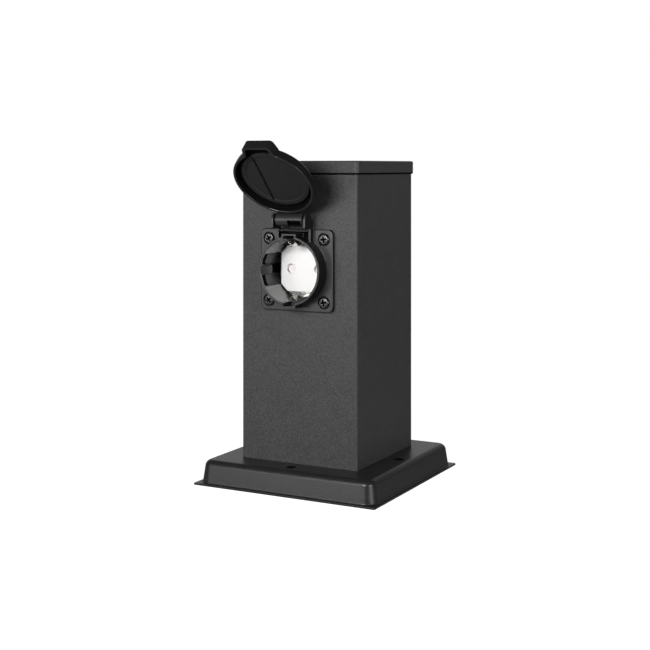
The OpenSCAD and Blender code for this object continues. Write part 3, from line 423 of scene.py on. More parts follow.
def soften(piece, width, segments=2, angle=CREASE_ANGLE):
    """Breaks the sharp edges and gives flat faces and round ones their own shading."""
    tidy_mesh(piece)
    choose_all(piece)
    bpy.ops.mesh.remove_doubles(threshold=SLIVER)
    bpy.ops.mesh.dissolve_limited(angle_limit=math.radians(FLAT_ANGLE))
    bpy.ops.object.mode_set(mode="OBJECT")
    finish_step(piece, "BEVEL", width=width, segments=segments, limit_method="ANGLE",
                angle_limit=math.radians(angle), use_clamp_overlap=False)
    only(piece)
    bpy.ops.object.shade_smooth_by_angle(angle=math.radians(angle))
    return finish_step(piece, "WEIGHTED_NORMAL", keep_sharp=True)


# Places of the socket and of the open lid, which are both drawn lying flat
SOCKET_PLACE = Matrix.Translation((0, FLANGE_Y, SOCKET_Z)) @ Matrix.Rotation(math.pi / 2, 4, "X")
LID_PLACE = (
    SOCKET_PLACE
    @ Matrix.Translation((0, HINGE_RISE, HINGE_REACH))
    @ Matrix.Rotation(-LID_OPEN, 4, "X")
    @ Matrix.Translation((0, -HINGE_RISE, -HINGE_REACH))
)


def set_in(piece, place):
    """Moves a finished piece from its own drawing frame to its place, inside its mesh."""
    only(piece)
    piece.matrix_world = place
    bpy.ops.object.transform_apply(location=True, rotation=True, scale=True)
    return piece


def fit(piece, body, slot, finish, *nodes):
    """Gives a piece its finish, its body and the solids that it stands for."""
    piece.data.materials.clear()
    piece.data.materials.append(finish)
    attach(piece, body)
    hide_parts(*nodes)
    return piece


def shade(piece, kinds, *finishes):
    """Gives a fitted piece more finishes, by default the painted shade, and each face its own, where nought is the
    first one.
    """
    for finish in finishes or (PAINTED_SHADE,):
        piece.data.materials.append(finish)
    piece.data.polygons.foreach_set("material_index", kinds)
    return piece


# Finishes: coats, plastics and metals with a fine grain on each piece's own coordinates
COAT_GRAIN = 0.65 * MM
COAT_CLOUD = 9 * MM
COAT_RELIEF = 0.12 * MM
SLEEVE_GREEN = (0.05, 0.26, 0.03)
SLEEVE_YELLOW = (0.72, 0.55, 0.03)
YELLOW_SHARE = 0.4
SLEEVE_GRAIN = 0.6 * MM
SLEEVE_RELIEF = 0.01 * MM


def new_finish(name, colour, roughness, **values):
    """A material with its plain values on the shader, and that shader with its tree."""
    finish = bpy.data.materials.new(name)
    finish.use_nodes = True
    nodes = finish.node_tree.nodes
    shader = nodes["Principled BSDF"]
    shader.inputs["Base Color"].default_value = (*colour, 1)
    shader.inputs["Roughness"].default_value = roughness
    for key, value in values.items():
        shader.inputs[key.replace("_", " ")].default_value = value
    return finish, finish.node_tree, shader


def node(tree, kind, operation=None, **values):
    """A new shader node, with plain values on its sockets."""
    new = tree.nodes.new(kind)
    if operation:
        new.operation = operation
    for key, value in values.items():
        new.inputs[key.replace("_", " ")].default_value = value
    return new


def speckle(tree, size, detail=3.0, stretch=(1, 1, 1)):
    """Noise whose grains have a size in metres."""
    where = node(tree, "ShaderNodeTexCoord")
    turn = node(tree, "ShaderNodeMapping", Scale=[s / size for s in stretch])
    noise = node(tree, "ShaderNodeTexNoise", Scale=1, Detail=detail)
    tree.links.new(where.outputs["Object"], turn.inputs["Vector"])
    tree.links.new(turn.outputs["Vector"], noise.inputs["Vector"])
    return noise.outputs["Fac"]


def shades(tree, source, low, high, dark, light):
    """Turns noise into a colour between two shades."""
    ramp = node(tree, "ShaderNodeValToRGB")
    for stop, place, colour in zip(ramp.color_ramp.elements, (low, high), (dark, light)):
        stop.position = place
        stop.color = (*colour, 1)
    tree.links.new(source, ramp.inputs["Fac"])
    return ramp.outputs["Color"]


def between(tree, source, low, high):
    """Turns noise into a number between two values."""
    spread = node(tree, "ShaderNodeMapRange", From_Min=0.3, From_Max=0.7, To_Min=low, To_Max=high)
    tree.links.new(source, spread.inputs["Value"])
    return spread.outputs["Result"]


def raise_grain(tree, shader, source, height, strength):
    bump = node(tree, "ShaderNodeBump", Distance=height, Strength=strength)
    tree.links.new(source, bump.inputs["Height"])
    tree.links.new(bump.outputs["Normal"], shader.inputs["Normal"])


def grainy(name, dark, light, size, roughness, height=0.01, strength=0.3, stretch=(1, 1, 1), **values):
    """A finish with one grain in its colour, its gloss and its relief, whose sizes are in millimetres."""
    finish, tree, shader = new_finish(name, light, roughness[0], **values)
    grain = speckle(tree, size * MM, stretch=stretch)
    tree.links.new(shades(tree, grain, 0.35, 0.65, dark, light), shader.inputs["Base Color"])
    tree.links.new(between(tree, grain, *roughness), shader.inputs["Roughness"])
    raise_grain(tree, shader, grain, height * MM, strength)
    return finish


def grey(value, warmth=0.0):
    return (value * (1 + warmth), value, value * (1 - warmth))


def moulded(name, dark, light, roughness, gloss):
    """Dark plastic with the fine grain of its mould, also used for the darker copies that carry painted shade."""
    return grainy(name, grey(dark), grey(light), 0.35, roughness, 0.02, Specular_IOR_Level=gloss)


def powder_coat(name, dark, light, roughness, gloss):
    """Fine sprayed texture: dark pits and pale tops, with a wide faint cloud in the shade."""
    finish, tree, shader = new_finish(name, grey(light), roughness[1], Specular_IOR_Level=gloss)
    grain = speckle(tree, COAT_GRAIN, 2)
    cloud = speckle(tree, COAT_CLOUD, 2)
    fine = shades(tree, grain, 0.32, 0.7, grey(dark), grey(light))
    wide = shades(tree, cloud, 0.3, 0.7, grey(0.92), grey(1.0))
    both = node(tree, "ShaderNodeMix", Factor=1)
    both.data_type = "RGBA"
    both.blend_type = "MULTIPLY"
    tree.links.new(fine, both.inputs["A"])
    tree.links.new(wide, both.inputs["B"])
    tree.links.new(both.outputs["Result"], shader.inputs["Base Color"])
    tree.links.new(between(tree, grain, *roughness), shader.inputs["Roughness"])
    raise_grain(tree, shader, grain, COAT_RELIEF, 0.7)
    return finish


def striped_sleeve():
    """Green and yellow earth sleeve, with the yellow as a band along the wire."""
    finish, tree, shader = new_finish("earth_wire_sleeve", SLEEVE_GREEN, 0.35)
    where = node(tree, "ShaderNodeUVMap")
    split = node(tree, "ShaderNodeSeparateXYZ")
    band = node(tree, "ShaderNodeValToRGB")
    band.color_ramp.interpolation = "CONSTANT"
    band.color_ramp.elements[0].color = (*SLEEVE_GREEN, 1)
    band.color_ramp.elements[1].color = (*SLEEVE_YELLOW, 1)
    band.color_ramp.elements[1].position = 1 - YELLOW_SHARE
    tree.links.new(where.outputs["UV"], split.inputs[0])
    tree.links.new(split.outputs["Y"], band.inputs["Fac"])
    tree.links.new(band.outputs["Color"], shader.inputs["Base Color"])
    raise_grain(tree, shader, speckle(tree, SLEEVE_GRAIN), SLEEVE_RELIEF, 0.3)
    return finish


POST_COAT = powder_coat("anthracite_powder_coat", 0.036, 0.076, (0.36, 0.5), 0.25)
FOOT_COAT = powder_coat("black_foot_coat", 0.01, 0.02, (0.28, 0.4), 0.5)
BLACK_PLASTIC = moulded("black_moulded_plastic", 0.019, 0.027, (0.3, 0.4), 0.5)
LID_PLASTIC = moulded("glossy_lid_plastic", 0.009, 0.014, (0.19, 0.27), 0.5)
# A darker copy of the black plastic for upright outer sides of the housing and lid: painted shade.
SHADED_SIDE_PLASTIC = moulded("matt_side_plastic", 0.004, 0.007, (0.38, 0.48), 0.3)
# Near-black put on faces in slots, pockets, hollows and bores: painted shade, not a finish of the real thing.
PAINTED_SHADE = moulded("matt_deep_shade", 0.002, 0.004, (0.9, 1.0), 0.05)
RECESS_PLASTIC = grainy("polished_recess_plastic", grey(0.008), grey(0.013), 0.35, (0.24, 0.32),
                        strength=0.1, IOR=2.4)
SEAL_RUBBER = grainy("black_seal_rubber", grey(0.014), grey(0.022), 0.4, (0.5, 0.62), 0.02, 0.5,
                     Specular_IOR_Level=0.2)
GLAND_PLASTIC = grainy("gland_nylon", grey(0.016), grey(0.024), 0.5, (0.4, 0.5), 0.02, 0.4)
WHITE_PLASTIC = grainy("white_contact_plastic", grey(0.9, 0.01), grey(0.93, 0.01), 0.8, (0.28, 0.36))
SHUTTER_PLASTIC = grainy("pale_shutter_plastic", (0.88, 0.84, 0.82), (0.92, 0.88, 0.86), 0.8, (0.35, 0.45))
ZINC_SHEET = grainy("galvanised_sheet", grey(0.42), grey(0.60), 6, (0.32, 0.5), strength=0.2, Metallic=1)
ZINC_SCREW = grainy("bright_zinc", grey(0.55), grey(0.68), 0.5, (0.25, 0.38), Metallic=1)
DARK_SCREW = grainy("blackened_steel", grey(0.06), grey(0.1), 0.4, (0.22, 0.34), strength=0.4, Metallic=1)
SPRING_STEEL = grainy("blackened_spring_steel", grey(0.02), grey(0.035), 0.3, (0.35, 0.45), Metallic=1)
CONTACT_BRASS = grainy("stamped_brass", (0.58, 0.40, 0.15), (0.74, 0.54, 0.24), 0.8, (0.22, 0.36), Metallic=1)
NICKEL_STRIP = grainy("nickel_plated_strip", (0.72, 0.70, 0.67), (0.82, 0.80, 0.77), 0.6, (0.1, 0.18),
                      strength=0.2, stretch=(1, 0.15, 1), Metallic=1)
BROWN_WIRE = grainy("brown_wire_sleeve", (0.10, 0.035, 0.015), (0.14, 0.05, 0.02), 0.6, (0.3, 0.4))
BLUE_WIRE = grainy("blue_wire_sleeve", (0.02, 0.07, 0.30), (0.03, 0.10, 0.38), 0.6, (0.3, 0.4))
GREEN_WIRE = striped_sleeve()

# Solids that stay as they were packed take the finish of their slot
FINISH_OF_SLOT = {
    "post_coat": POST_COAT, "zinc_sheet": ZINC_SHEET, "zinc_screw": ZINC_SCREW, "dark_screw": DARK_SCREW,
    "spring_steel": SPRING_STEEL, "seal_rubber": SEAL_RUBBER, "black_plastic": BLACK_PLASTIC,
    "gland_plastic": GLAND_PLASTIC, "white_plastic": WHITE_PLASTIC, "contact_brass": CONTACT_BRASS,
    "nickel_strip": NICKEL_STRIP, "brown_wire": BROWN_WIRE, "blue_wire": BLUE_WIRE, "green_wire": GREEN_WIRE,
}
for row in frame["record"]["subparts"]:
    solid = frame["nodes"][row["node"]]
    solid.data.materials.clear()
    solid.data.materials.append(FINISH_OF_SLOT[row["material_slot"]])
frame["nodes"]["shutter"].data.materials[0] = SHUTTER_PLASTIC


# Foot: a pressed pan with a flat lip, drawn as its upper skin and then given its sheet
def in_anchor_hole(place):
    """True for a place in the bore of an anchor hole."""
    return any(math.hypot(place.x - x, place.y - y) < ANCHOR_R + 2 * TINY for x, y in ANCHOR_PLACES)


def make_foot():
    wall_half = foot_high.x - LIP_W - FOOT_SHEET * WALL_SLOPE
    rise = foot_high.z - FOOT_SHEET
    foot = begin("foot_pan", bpy.ops.mesh.primitive_plane_add, size=2 * wall_half,
                 location=(0, 0, FOOT_SHEET))
    choose_all(foot)
    bpy.ops.mesh.bevel(offset=WALL_R, segments=14, affect="VERTICES")
    bpy.ops.mesh.select_all(action="SELECT")
    bpy.ops.mesh.inset(thickness=rise * WALL_SLOPE, depth=rise)
    round_edges(foot, lambda p: near(p.z, foot_high.z), FOOT_EDGE_R * math.tan(WALL_TURN / 2), 8)
    lip = begin("lip", bpy.ops.mesh.primitive_plane_add, size=2 * foot_high.x, location=(0, 0, FOOT_SHEET))
    choose_all(lip)
    bpy.ops.mesh.bevel(offset=LIP_R, segments=4, affect="VERTICES")
    bpy.ops.mesh.select_all(action="SELECT")
    bpy.ops.mesh.delete(type="ONLY_FACE")
    only(foot)
    lip.select_set(True)
    bpy.ops.object.join()
    choose(foot, "EDGE", lambda p: near(p.z, FOOT_SHEET))
    bpy.ops.mesh.fill(use_beauty=True)
    round_edges(foot, lambda p: near(p.z, FOOT_SHEET) and max(abs(p.x), abs(p.y)) < wall_half + TINY,
                FOOT_FILLET_R * math.tan(WALL_TURN / 2), 4)
    tidy_mesh(foot)
    finish_step(foot, "SOLIDIFY", thickness=FOOT_SHEET, offset=-1, use_even_offset=True)
    under, over = foot_high.z - FOOT_SHEET - PAST, foot_high.z + PAST
    holes = [rod("anchor_hole", ANCHOR_R, under, over, at) for at in ANCHOR_PLACES]
    holes += [rod("screw_hole", FOOT_SCREW_R, under, over, at, 32) for at in corners(FOOT_SCREW_AT)]
    holes.append(rod("gland_hole", GLAND_R, under, over, sides=96))
    cut(foot, *holes)
    soften(foot, FOOT_BREAK, angle=SHEET_ANGLE)
    # The bores of the anchor holes carry painted shade.
    kinds = [int(abs(face.normal.z) < STEEP and in_anchor_hole(face.center)) for face in foot.data.polygons]
    fit(foot, "post", "post_coat", FOOT_COAT, "foot_plate")
    return shade(foot, kinds)


# Post tube: a bent square tube with the socket's cut-out
def make_tube():
    tube = block("square_tube", tube_low, tube_high)
    for end in (tube_low.z, tube_high.z):
        choose(tube, "FACE", lambda p: near(p.z, end))
        bpy.ops.mesh.delete(type="FACE")
    round_edges(tube, lambda p: True, TUBE_R, 8, upright=True)
    tidy_mesh(tube)
    finish_step(tube, "SOLIDIFY", thickness=TUBE_WALL, offset=-1, use_even_offset=True)
    front, back = tube_low.y - PAST, tube_low.y + TUBE_WALL + PAST
    cut(tube, rod("cutout", CUTOUT_R, front, back, (0, SOCKET_Z), 96, "Y"))
    for x, z in corners(SCREW_AT):
        cut(tube, rod("screw_hole", SCREW_HOLE_R, front, back, (x, SOCKET_Z + z), 32, "Y"))
    soften(tube, TUBE_BREAK, angle=SHEET_ANGLE)
    return fit(tube, "post", "post_coat", POST_COAT, "post_tube")


# Cap: a shallow folded lid with a rounded top edge
def make_cap():
    cap = block("folded_cap", cap_low, cap_high)
    choose(cap, "FACE", lambda p: near(p.z, cap_low.z))
    bpy.ops.mesh.delete(type="FACE")
    round_edges(cap, lambda p: True, CAP_R, 8, upright=True)
    round_edges(cap, lambda p: near(p.z, cap_high.z), CAP_EDGE_R, 5)
    tidy_mesh(cap)
    finish_step(cap, "SOLIDIFY", thickness=CAP_SHEET, offset=-1, use_even_offset=True)
    corner = cap_high.x - CAP_R
    round_edges(cap, lambda p: near(p.z, cap_low.z) and
                math.hypot(max(abs(p.x) - corner, 0), max(abs(p.y) - corner, 0)) > CAP_R - CAP_SHEET / 2,
                CAP_HEM_R, 4)
    soften(cap, CAP_BREAK, angle=SHEET_ANGLE)
    # The hem's underside carries painted shade, a dark line under the cap.
    kinds = [int(face.center.z < cap_low.z + CAP_HEM_R) for face in cap.data.polygons]
    fit(cap, "post", "post_coat", POST_COAT, "top_cap")
    return shade(cap, kinds)


# Socket, drawn lying on its back: gasket, housing, screws, contact plate and earth clip
def make_gasket():
    back = -FLANGE_T - GASKET_T
    gasket = rounded_plate("flange_gasket_sheet", FLANGE_W, FLANGE_W, FLANGE_R, back, -FLANGE_T)
    cut(gasket, rod("hole", CUTOUT_R, back - PAST, PAST, sides=96))
    soften(gasket, GASKET_BREAK, 3)
    set_in(gasket, SOCKET_PLACE)
    return fit(gasket, "post", "seal_rubber", SEAL_RUBBER, "flange_gasket")


def make_ear(side):
    start = EAR_AT if side > 0 else -EAR_AT - EAR_T
    top = HINGE_REACH + EAR_R
    edge = FLANGE_W / 2
    neck = edge + EAR_NECK
    round_end = arc((HINGE_RISE, HINGE_REACH), EAR_R, -60, 90, 14)
    outline = [
        (PEDESTAL_Y, -FLANGE_T / 2), (edge - 4 * TINY, -FLANGE_T / 2), (edge - 2 * TINY, 2 * TINY),
        (HINGE_RISE - EAR_TOE, 2 * TINY), *round_end, (neck + EAR_BEVEL, top),
        (neck, top - EAR_BEVEL), (neck, PEDESTAL_H), (PEDESTAL_Y, PEDESTAL_H),
    ]
    return drawn_plate("ear", [(start, y, z) for y, z in outline], (EAR_T, 0, 0))


def in_hinge_pocket(place):
    """True for a place at the bottom of the pockets between the ears, in the socket's frame."""
    in_plan = abs(place.x) < EAR_AT and PEDESTAL_Y < place.y < FLANGE_W / 2
    return in_plan and -HINGE_POCKET_SINK - TINY < place.z < -TINY


def in_recess(place):
    """True for a place on the walls that a plug goes past, in the socket's frame."""
    on_rib = abs(place.x) > RECESS_R / 2 and abs(place.y) < RIB_H / 2 + TINY
    reach = math.hypot(place.x, place.y)
    top = COLLAR_H - CUP_EDGE_R - 2 * TINY
    return not on_rib and reach < RECESS_R + TINY and FLOOR_Z - TINY < place.z < top


def in_rib_pocket(place):
    """True for a place in the pocket behind a guide rib, in the socket's frame."""
    low_x = RECESS_R - 2 * RIB_IN
    in_plan = low_x < abs(place.x) < RELIEF_R + TINY and abs(place.y) < RIB_H / 2 + TINY
    return in_plan and FLOOR_Z + TINY < place.z < RIB_END + TINY


def in_latch_slot(place):
    """True for a place at the bottom of a latch slot, in the socket's frame."""
    deep = RELIEF_R + TINY < math.hypot(place.x, place.y) < LATCH_R + TINY
    at_height = RELIEF_TOP - LATCH_L - TINY < place.z < RELIEF_TOP + TINY
    return deep and at_height and abs(place.x) > COLLAR_R / 2


def housing_finish(face):
    """Nought for the plain plastic, one for painted shade in slots and pockets, two for the recess and three for
    the sides, darker with painted shade.
    """
    if in_latch_slot(face.center) or in_hinge_pocket(face.center) or in_rib_pocket(face.center):
        return 1
    if in_recess(face.center):
        return 2
    reach = math.hypot(face.center.x, face.center.y)
    return 3 * (reach > COLLAR_R - 4 * TINY and abs(face.normal.z) < UPRIGHT)


def make_cup():
    """The round wall of the recess and its floor."""
    return lathe("cup", [
        (0, FLOOR_BACK), (COLLAR_R, FLOOR_BACK),
        *arc((COLLAR_R - CUP_EDGE_R, COLLAR_H - CUP_EDGE_R), CUP_EDGE_R, 0, 90, 4),
        *arc((RECESS_R + CUP_EDGE_R, COLLAR_H - CUP_EDGE_R), CUP_EDGE_R, 90, 180, 4),
        (RECESS_R, FLOOR_Z), (0, FLOOR_Z),
    ], 128)


def make_pedestal():
    """The sloping wall under the ears."""
    reach = EAR_AT + EAR_T / 2
    pedestal = block("pedestal", (-reach, PEDESTAL_IN, -FLANGE_T / 2),
                     (reach, FLANGE_W / 2 - TINY, PEDESTAL_H - 2 * TINY))
    choose(pedestal, "EDGE", lambda p: p.y > PEDESTAL_IN + TINY and p.z > 0)
    bpy.ops.transform.translate(value=(0, 0, -PEDESTAL_SLOPE))
    bpy.ops.object.mode_set(mode="OBJECT")
    return pedestal


def make_hinge_pocket():
    """The room of the shallow sink between the ears, clear of the collar and the groove's wall; its floor carries
    painted shade.
    """
    reach = EAR_AT - 2 * TINY
    half = GROOVE_WALL_W / 2 + 2 * TINY
    return cut(
        block("hinge_pocket", (-reach, PEDESTAL_Y, -HINGE_POCKET_SINK), (reach, PEDESTAL_IN, PAST)),
        rod("collar", COLLAR_R + 2 * TINY, -PAST, 2 * PAST, sides=128),
        block("groove_wall", (-half, 0, -PAST), (half, GROOVE_REACH + 2 * TINY, 2 * PAST)),
    )


def add_grooves(housing):
    """A wall above the recess and one below it, each with a groove for an earth arm."""
    half = GROOVE_WALL_W / 2
    top = COLLAR_H - GROOVE_SET_BACK
    for low_y, high_y in ((-GROOVE_REACH, -COLLAR_MID_R), (COLLAR_MID_R, GROOVE_REACH)):
        add(housing, block("groove_wall", (-half, low_y, -FLANGE_T / 2), (half, high_y, top)))
    half = GROOVE_W / 2
    end = GROOVE_REACH - GROOVE_COVER
    for low_y, high_y in ((-end, -GROOVE_START), (GROOVE_START, end)):
        cut(housing, block("groove", (-half, low_y, -FLANGE_T / 4), (half, high_y, COLLAR_H + PAST)))


def add_ribs(housing):
    """A guide rib at each side of the recess, with an open pocket behind its end."""
    outline = [(COLLAR_MID_R, RIB_TOP), (RECESS_R, RIB_TOP), (RECESS_R - RIB_IN, RIB_TOP - RIB_LEAD),
               (RECESS_R - RIB_IN, RIB_END - PAST), (COLLAR_MID_R, RIB_END - PAST)]
    for side in (-1, 1):
        add(housing, drawn_plate("rib", [(side * x, RIM_STRIP - RIB_H / 2, z) for x, z in outline],
                                 (0, RIB_H - 2 * RIM_STRIP, 0)))
        low_x, high_x = sorted((side * (RECESS_R - 2 * RIB_IN), side * RELIEF_R))
        cut(housing, block("pocket", (low_x, -RIB_H / 2, FLOOR_Z + RIM_STRIP), (high_x, RIB_H / 2, RIB_END)))


def cut_reliefs(housing):
    """Thin places in the wall beside the ribs, each with a deeper latch slot at its top."""
    for side in (-1, 1):
        y = side * (RIB_H + RELIEF_H) / 2
        for name, height, radius, low_z in (
            ("relief", RELIEF_H, RELIEF_R, FLOOR_Z + RIM_STRIP),
            ("latch_slot", RELIEF_H - 2 * RIM_STRIP, LATCH_R, RELIEF_TOP - LATCH_L),
        ):
            opening = block(name, (-COLLAR_R, y - height / 2, low_z), (COLLAR_R, y + height / 2, RELIEF_TOP))
            keep_inside(opening, rod("depth", radius, FLOOR_Z - PAST, COLLAR_H, sides=128))
            cut(housing, opening)


def cut_ways(housing):
    """Holes for the flange screws, the earth clip's arms and the contact carrier."""
    for at in corners(SCREW_AT):
        cut(
            housing,
            rod("screw_hole", SCREW_HOLE_R, -FLANGE_T - PAST, PAST, at, 32),
            rod("head_sink", SCREW_SINK_R, -SCREW_SINK, PAST, at, 48),
        )
    low_z, high_z = FLOOR_BACK - PAST, FLOOR_Z + PAST
    slot = CLIP_T / 2 + CLIP_SLOT_ROOM
    for y in (-CLIP_Y, CLIP_Y):
        cut(housing, block("clip_slot", (-CLIP_SLOT_HALF, y - slot, low_z),
                           (CLIP_SLOT_HALF, y + slot, high_z)))
    half, level = CARRIER_WAY
    cut(housing, block("carrier_way", (-half, -level, low_z), (half, level, high_z)))


def make_housing():
    housing = rounded_plate("socket_body", FLANGE_W, FLANGE_W, FLANGE_R, -FLANGE_T, 0)
    round_edges(housing, lambda p: near(p.z, 0), FLANGE_EDGE_R, 4)
    cut(housing, rod("way", COLLAR_MID_R, -FLANGE_T - PAST, PAST, sides=96), make_hinge_pocket())
    add(housing, make_cup(), make_pedestal(), make_ear(-1), make_ear(1))
    add_grooves(housing)
    cut(housing, rod("pin_bore", PIN_R, -COLLAR_R, COLLAR_R, (HINGE_RISE, HINGE_REACH), 32, "X"))
    add_ribs(housing)
    cut_reliefs(housing)
    cut_ways(housing)
    soften(housing, HOUSING_BREAK)
    kinds = [housing_finish(face) for face in housing.data.polygons]
    set_in(housing, SOCKET_PLACE)
    fit(housing, "post", "black_plastic", BLACK_PLASTIC, "socket_housing")
    return shade(housing, kinds, PAINTED_SHADE, RECESS_PLASTIC, SHADED_SIDE_PLASTIC)


def make_flange_screws():
    """One pan head with a cross recess, copied to the four corners."""
    shank_l = FLANGE_T - SCREW_SINK + GASKET_T + TUBE_WALL + SCREW_PAST_WALL
    screw = lathe("flange_screw_1", [
        (0, -shank_l), (SCREW_SHANK_R, -shank_l), (SCREW_SHANK_R, 0), (SCREW_HEAD_R, 0),
        *arc((SCREW_HEAD_R - SCREW_DOME_R, SCREW_HEAD_H - SCREW_DOME_R), SCREW_DOME_R, 0, 70, 6),
        (SCREW_CROWN_R, SCREW_HEAD_H), (0, SCREW_HEAD_H),
    ], 64)
    cross_z = SCREW_HEAD_H - CROSS_DEEP
    for turn in (0, math.pi / 2):
        slot = block("cross", (-CROSS_HALF_L, -CROSS_HALF_W, cross_z),
                     (CROSS_HALF_L, CROSS_HALF_W, SCREW_HEAD_H + PAST))
        choose(slot, "FACE", lambda p: near(p.z, cross_z))
        bpy.ops.transform.resize(value=CROSS_TAPER, center_override=(0, 0, 0))
        bpy.ops.object.mode_set(mode="OBJECT")
        set_in(slot, Matrix.Rotation(turn, 4, "Z"))
        cut(screw, slot)
    soften(screw, SCREW_BREAK)
    # Faces in the cross recess carry painted shade.
    top = SCREW_HEAD_H - 3 * TINY
    kinds = [int(face.center.xy.length < CROSS_HALF_L and cross_z - TINY < face.center.z < top)
             for face in screw.data.polygons]
    for number, (side, level, turn) in enumerate(SCREW_TURNS, 1):
        one = screw if number == len(SCREW_TURNS) else screw.copy()
        if one is not screw:
            one.data = screw.data.copy()
            bpy.context.collection.objects.link(one)
        one.name = "flange_screw_head_%d" % number
        seat = Matrix.Translation((side * SCREW_AT, level * SCREW_AT, -SCREW_SINK))
        set_in(one, SOCKET_PLACE @ seat @ Matrix.Rotation(math.radians(turn), 4, "Z"))
        fit(one, "post", "dark_screw", DARK_SCREW, "flange_screws")
        shade(one, kinds)


def make_contact_plate():
    plate = rounded_plate("contact_face", PLATE_W, PLATE_H, PLATE_CHAMFER, FLOOR_Z, PLATE_Z, 1)
    round_edges(plate, lambda p: near(p.z, PLATE_Z), PLATE_EDGE_R, 3)
    cut(plate, rod("shutter_room", SHUTTER_ROOM_R, FLOOR_Z - PAST, PLATE_Z - PLATE_WALL, sides=96))
    for x in (-PIN_AT, PIN_AT):
        cut(plate, rod("pin_hole", PIN_HOLE_R, FLOOR_Z, PLATE_Z + PAST, (x, 0), 48))
        lead_in = begin("lead_in", bpy.ops.mesh.primitive_cone_add, vertices=48, depth=3 * LEAD_IN,
                        radius1=PIN_HOLE_R - LEAD_IN, radius2=PIN_HOLE_R + 2 * LEAD_IN,
                        location=(x, 0, PLATE_Z - LEAD_IN / 2))
        cut(plate, lead_in)
    add(plate, rod("pivot", PIVOT_R, FLOOR_Z, PLATE_Z - PLATE_WALL / 2, sides=32))
    soften(plate, PLATE_BREAK)
    set_in(plate, SOCKET_PLACE)
    return fit(plate, "post", "white_plastic", WHITE_PLASTIC, "contact_plate")


def make_earth_clip():
    """A bent strip with two arms, their bases on the cup's floor and a clamp at the back."""
    low = CARRIER_BACK - CLIP_T / 2
    arm = [(CLIP_Y, low), (CLIP_Y, COLLAR_H - CLIP_LEG), (CLIP_Y - CLIP_BEND, COLLAR_H - CLIP_KNEE),
           (CLIP_Y + CLIP_FLARE, COLLAR_H - CLIP_TIP)]
    line = [(-y, z) for y, z in reversed(arm)] + arm
    clip = drawn_line("earth_strip", [(-CLIP_W / 2, y, z) for y, z in line])
    bpy.ops.mesh.select_all(action="SELECT")
    for _ in range(2):
        bpy.ops.mesh.extrude_region_move(TRANSFORM_OT_translate={"value": (CLIP_W / 2, 0, 0)})
    tidy_mesh(clip)
    for side in (-1, 1):
        tip_y = side * (CLIP_Y + CLIP_FLARE)
        choose(clip, "VERT", lambda p: near(p.x, 0) and near(p.y, tip_y) and near(p.z, COLLAR_H - CLIP_TIP))
        bpy.ops.transform.translate(value=(0, -side * CLIP_CREASE, 0))
        bpy.ops.object.mode_set(mode="OBJECT")
    finish_step(clip, "SOLIDIFY", thickness=CLIP_T, offset=0, use_even_offset=True)
    base_in = PLATE_H / 2 + CLIP_BASE_GAP
    half = CLIP_BASE_W / 2
    slit_end = half - CLIP_SLIT_IN
    for side in (-1, 1):
        low_y, high_y = sorted((side * base_in, side * CLIP_BASE_OUT))
        base = block("base", (-half, low_y, FLOOR_Z), (half, high_y, FLOOR_Z + CLIP_T))
        cut(base, block("slit", (slit_end - CLIP_SLIT, low_y - PAST, FLOOR_Z - PAST),
                        (slit_end, high_y + PAST, FLOOR_Z + PAST)))
        add(clip, base)
    add(clip, block("clamp", (-CLAMP_W / 2, -CLAMP_H / 2, CLAMP_BACK),
                    (CLAMP_W / 2, CLAMP_H / 2, CARRIER_BACK - CLIP_T / 2)))
    soften(clip, CLIP_BREAK)
    set_in(clip, SOCKET_PLACE)
    return fit(clip, "post", "nickel_strip", NICKEL_STRIP, "earth_clip")


# Lid, drawn closed in the socket's frame and then swung open
def tab_outline(inset):
    root = -math.sqrt(LID_R**2 - TAB_ROOT**2)
    end = -LID_R - TAB_REACH + inset
    right = [(TAB_ROOT - inset, root + TAB_OVERLAP), (TAB_ROOT - inset, root), (TAB_END - inset, end)]
    return right + [(-x, y) for x, y in reversed(right)]


def make_tab(inset, low, high):
    tab = drawn_plate("tab", [(x, y, low) for x, y in tab_outline(inset)], (0, 0, high - low))
    end = -LID_R - TAB_REACH + inset
    round_edges(tab, lambda p: near(p.y, end), (TAB_R - inset) / 2, 8, upright=True)
    return tab


def in_spring_room(place):
    """True for a place inside the barrel, in the frame of the closed lid."""
    reach = math.hypot(place.y - HINGE_RISE, place.z - HINGE_REACH)
    return reach < BARREL_R - BARREL_SKIN and SPRING_LOW_X - 4 * TINY < place.x < SPRING_HIGH_X + 4 * TINY


def in_lid_hollow(place):
    """True for a place inside the lid or its tab, behind the rim, in the frame of the closed lid."""
    depth = place.z - HINGE_REACH
    in_round = math.hypot(place.x, place.y) < LID_R - LID_WALL + TINY and depth < LID_H - LID_FACE_T + TINY
    in_plan = -LID_R - TAB_REACH + LID_WALL - TINY < place.y < 0 and abs(place.x) < TAB_ROOT - LID_WALL + TINY
    in_tab = in_plan and depth < TAB_H - LID_WALL + TINY
    return depth > LID_RIM_R and (in_round or in_tab)


def lid_finish(face):
    """Nought for the glossy plastic, one for painted shade in the hollows and the spring room, two for the round
    side, darker with painted shade, three for the barrel.
    """
    place = face.center
    if in_spring_room(place) or in_lid_hollow(place):
        return 1
    if math.hypot(place.y - HINGE_RISE, place.z - HINGE_REACH) < BARREL_R + TINY:
        return 3
    on_tab = place.y < 0 and abs(place.x) < TAB_ROOT
    reach = math.hypot(place.x, place.y)
    return 2 * (not on_tab and abs(reach - LID_R) < 4 * TINY and abs(face.normal.z) < STEEP)


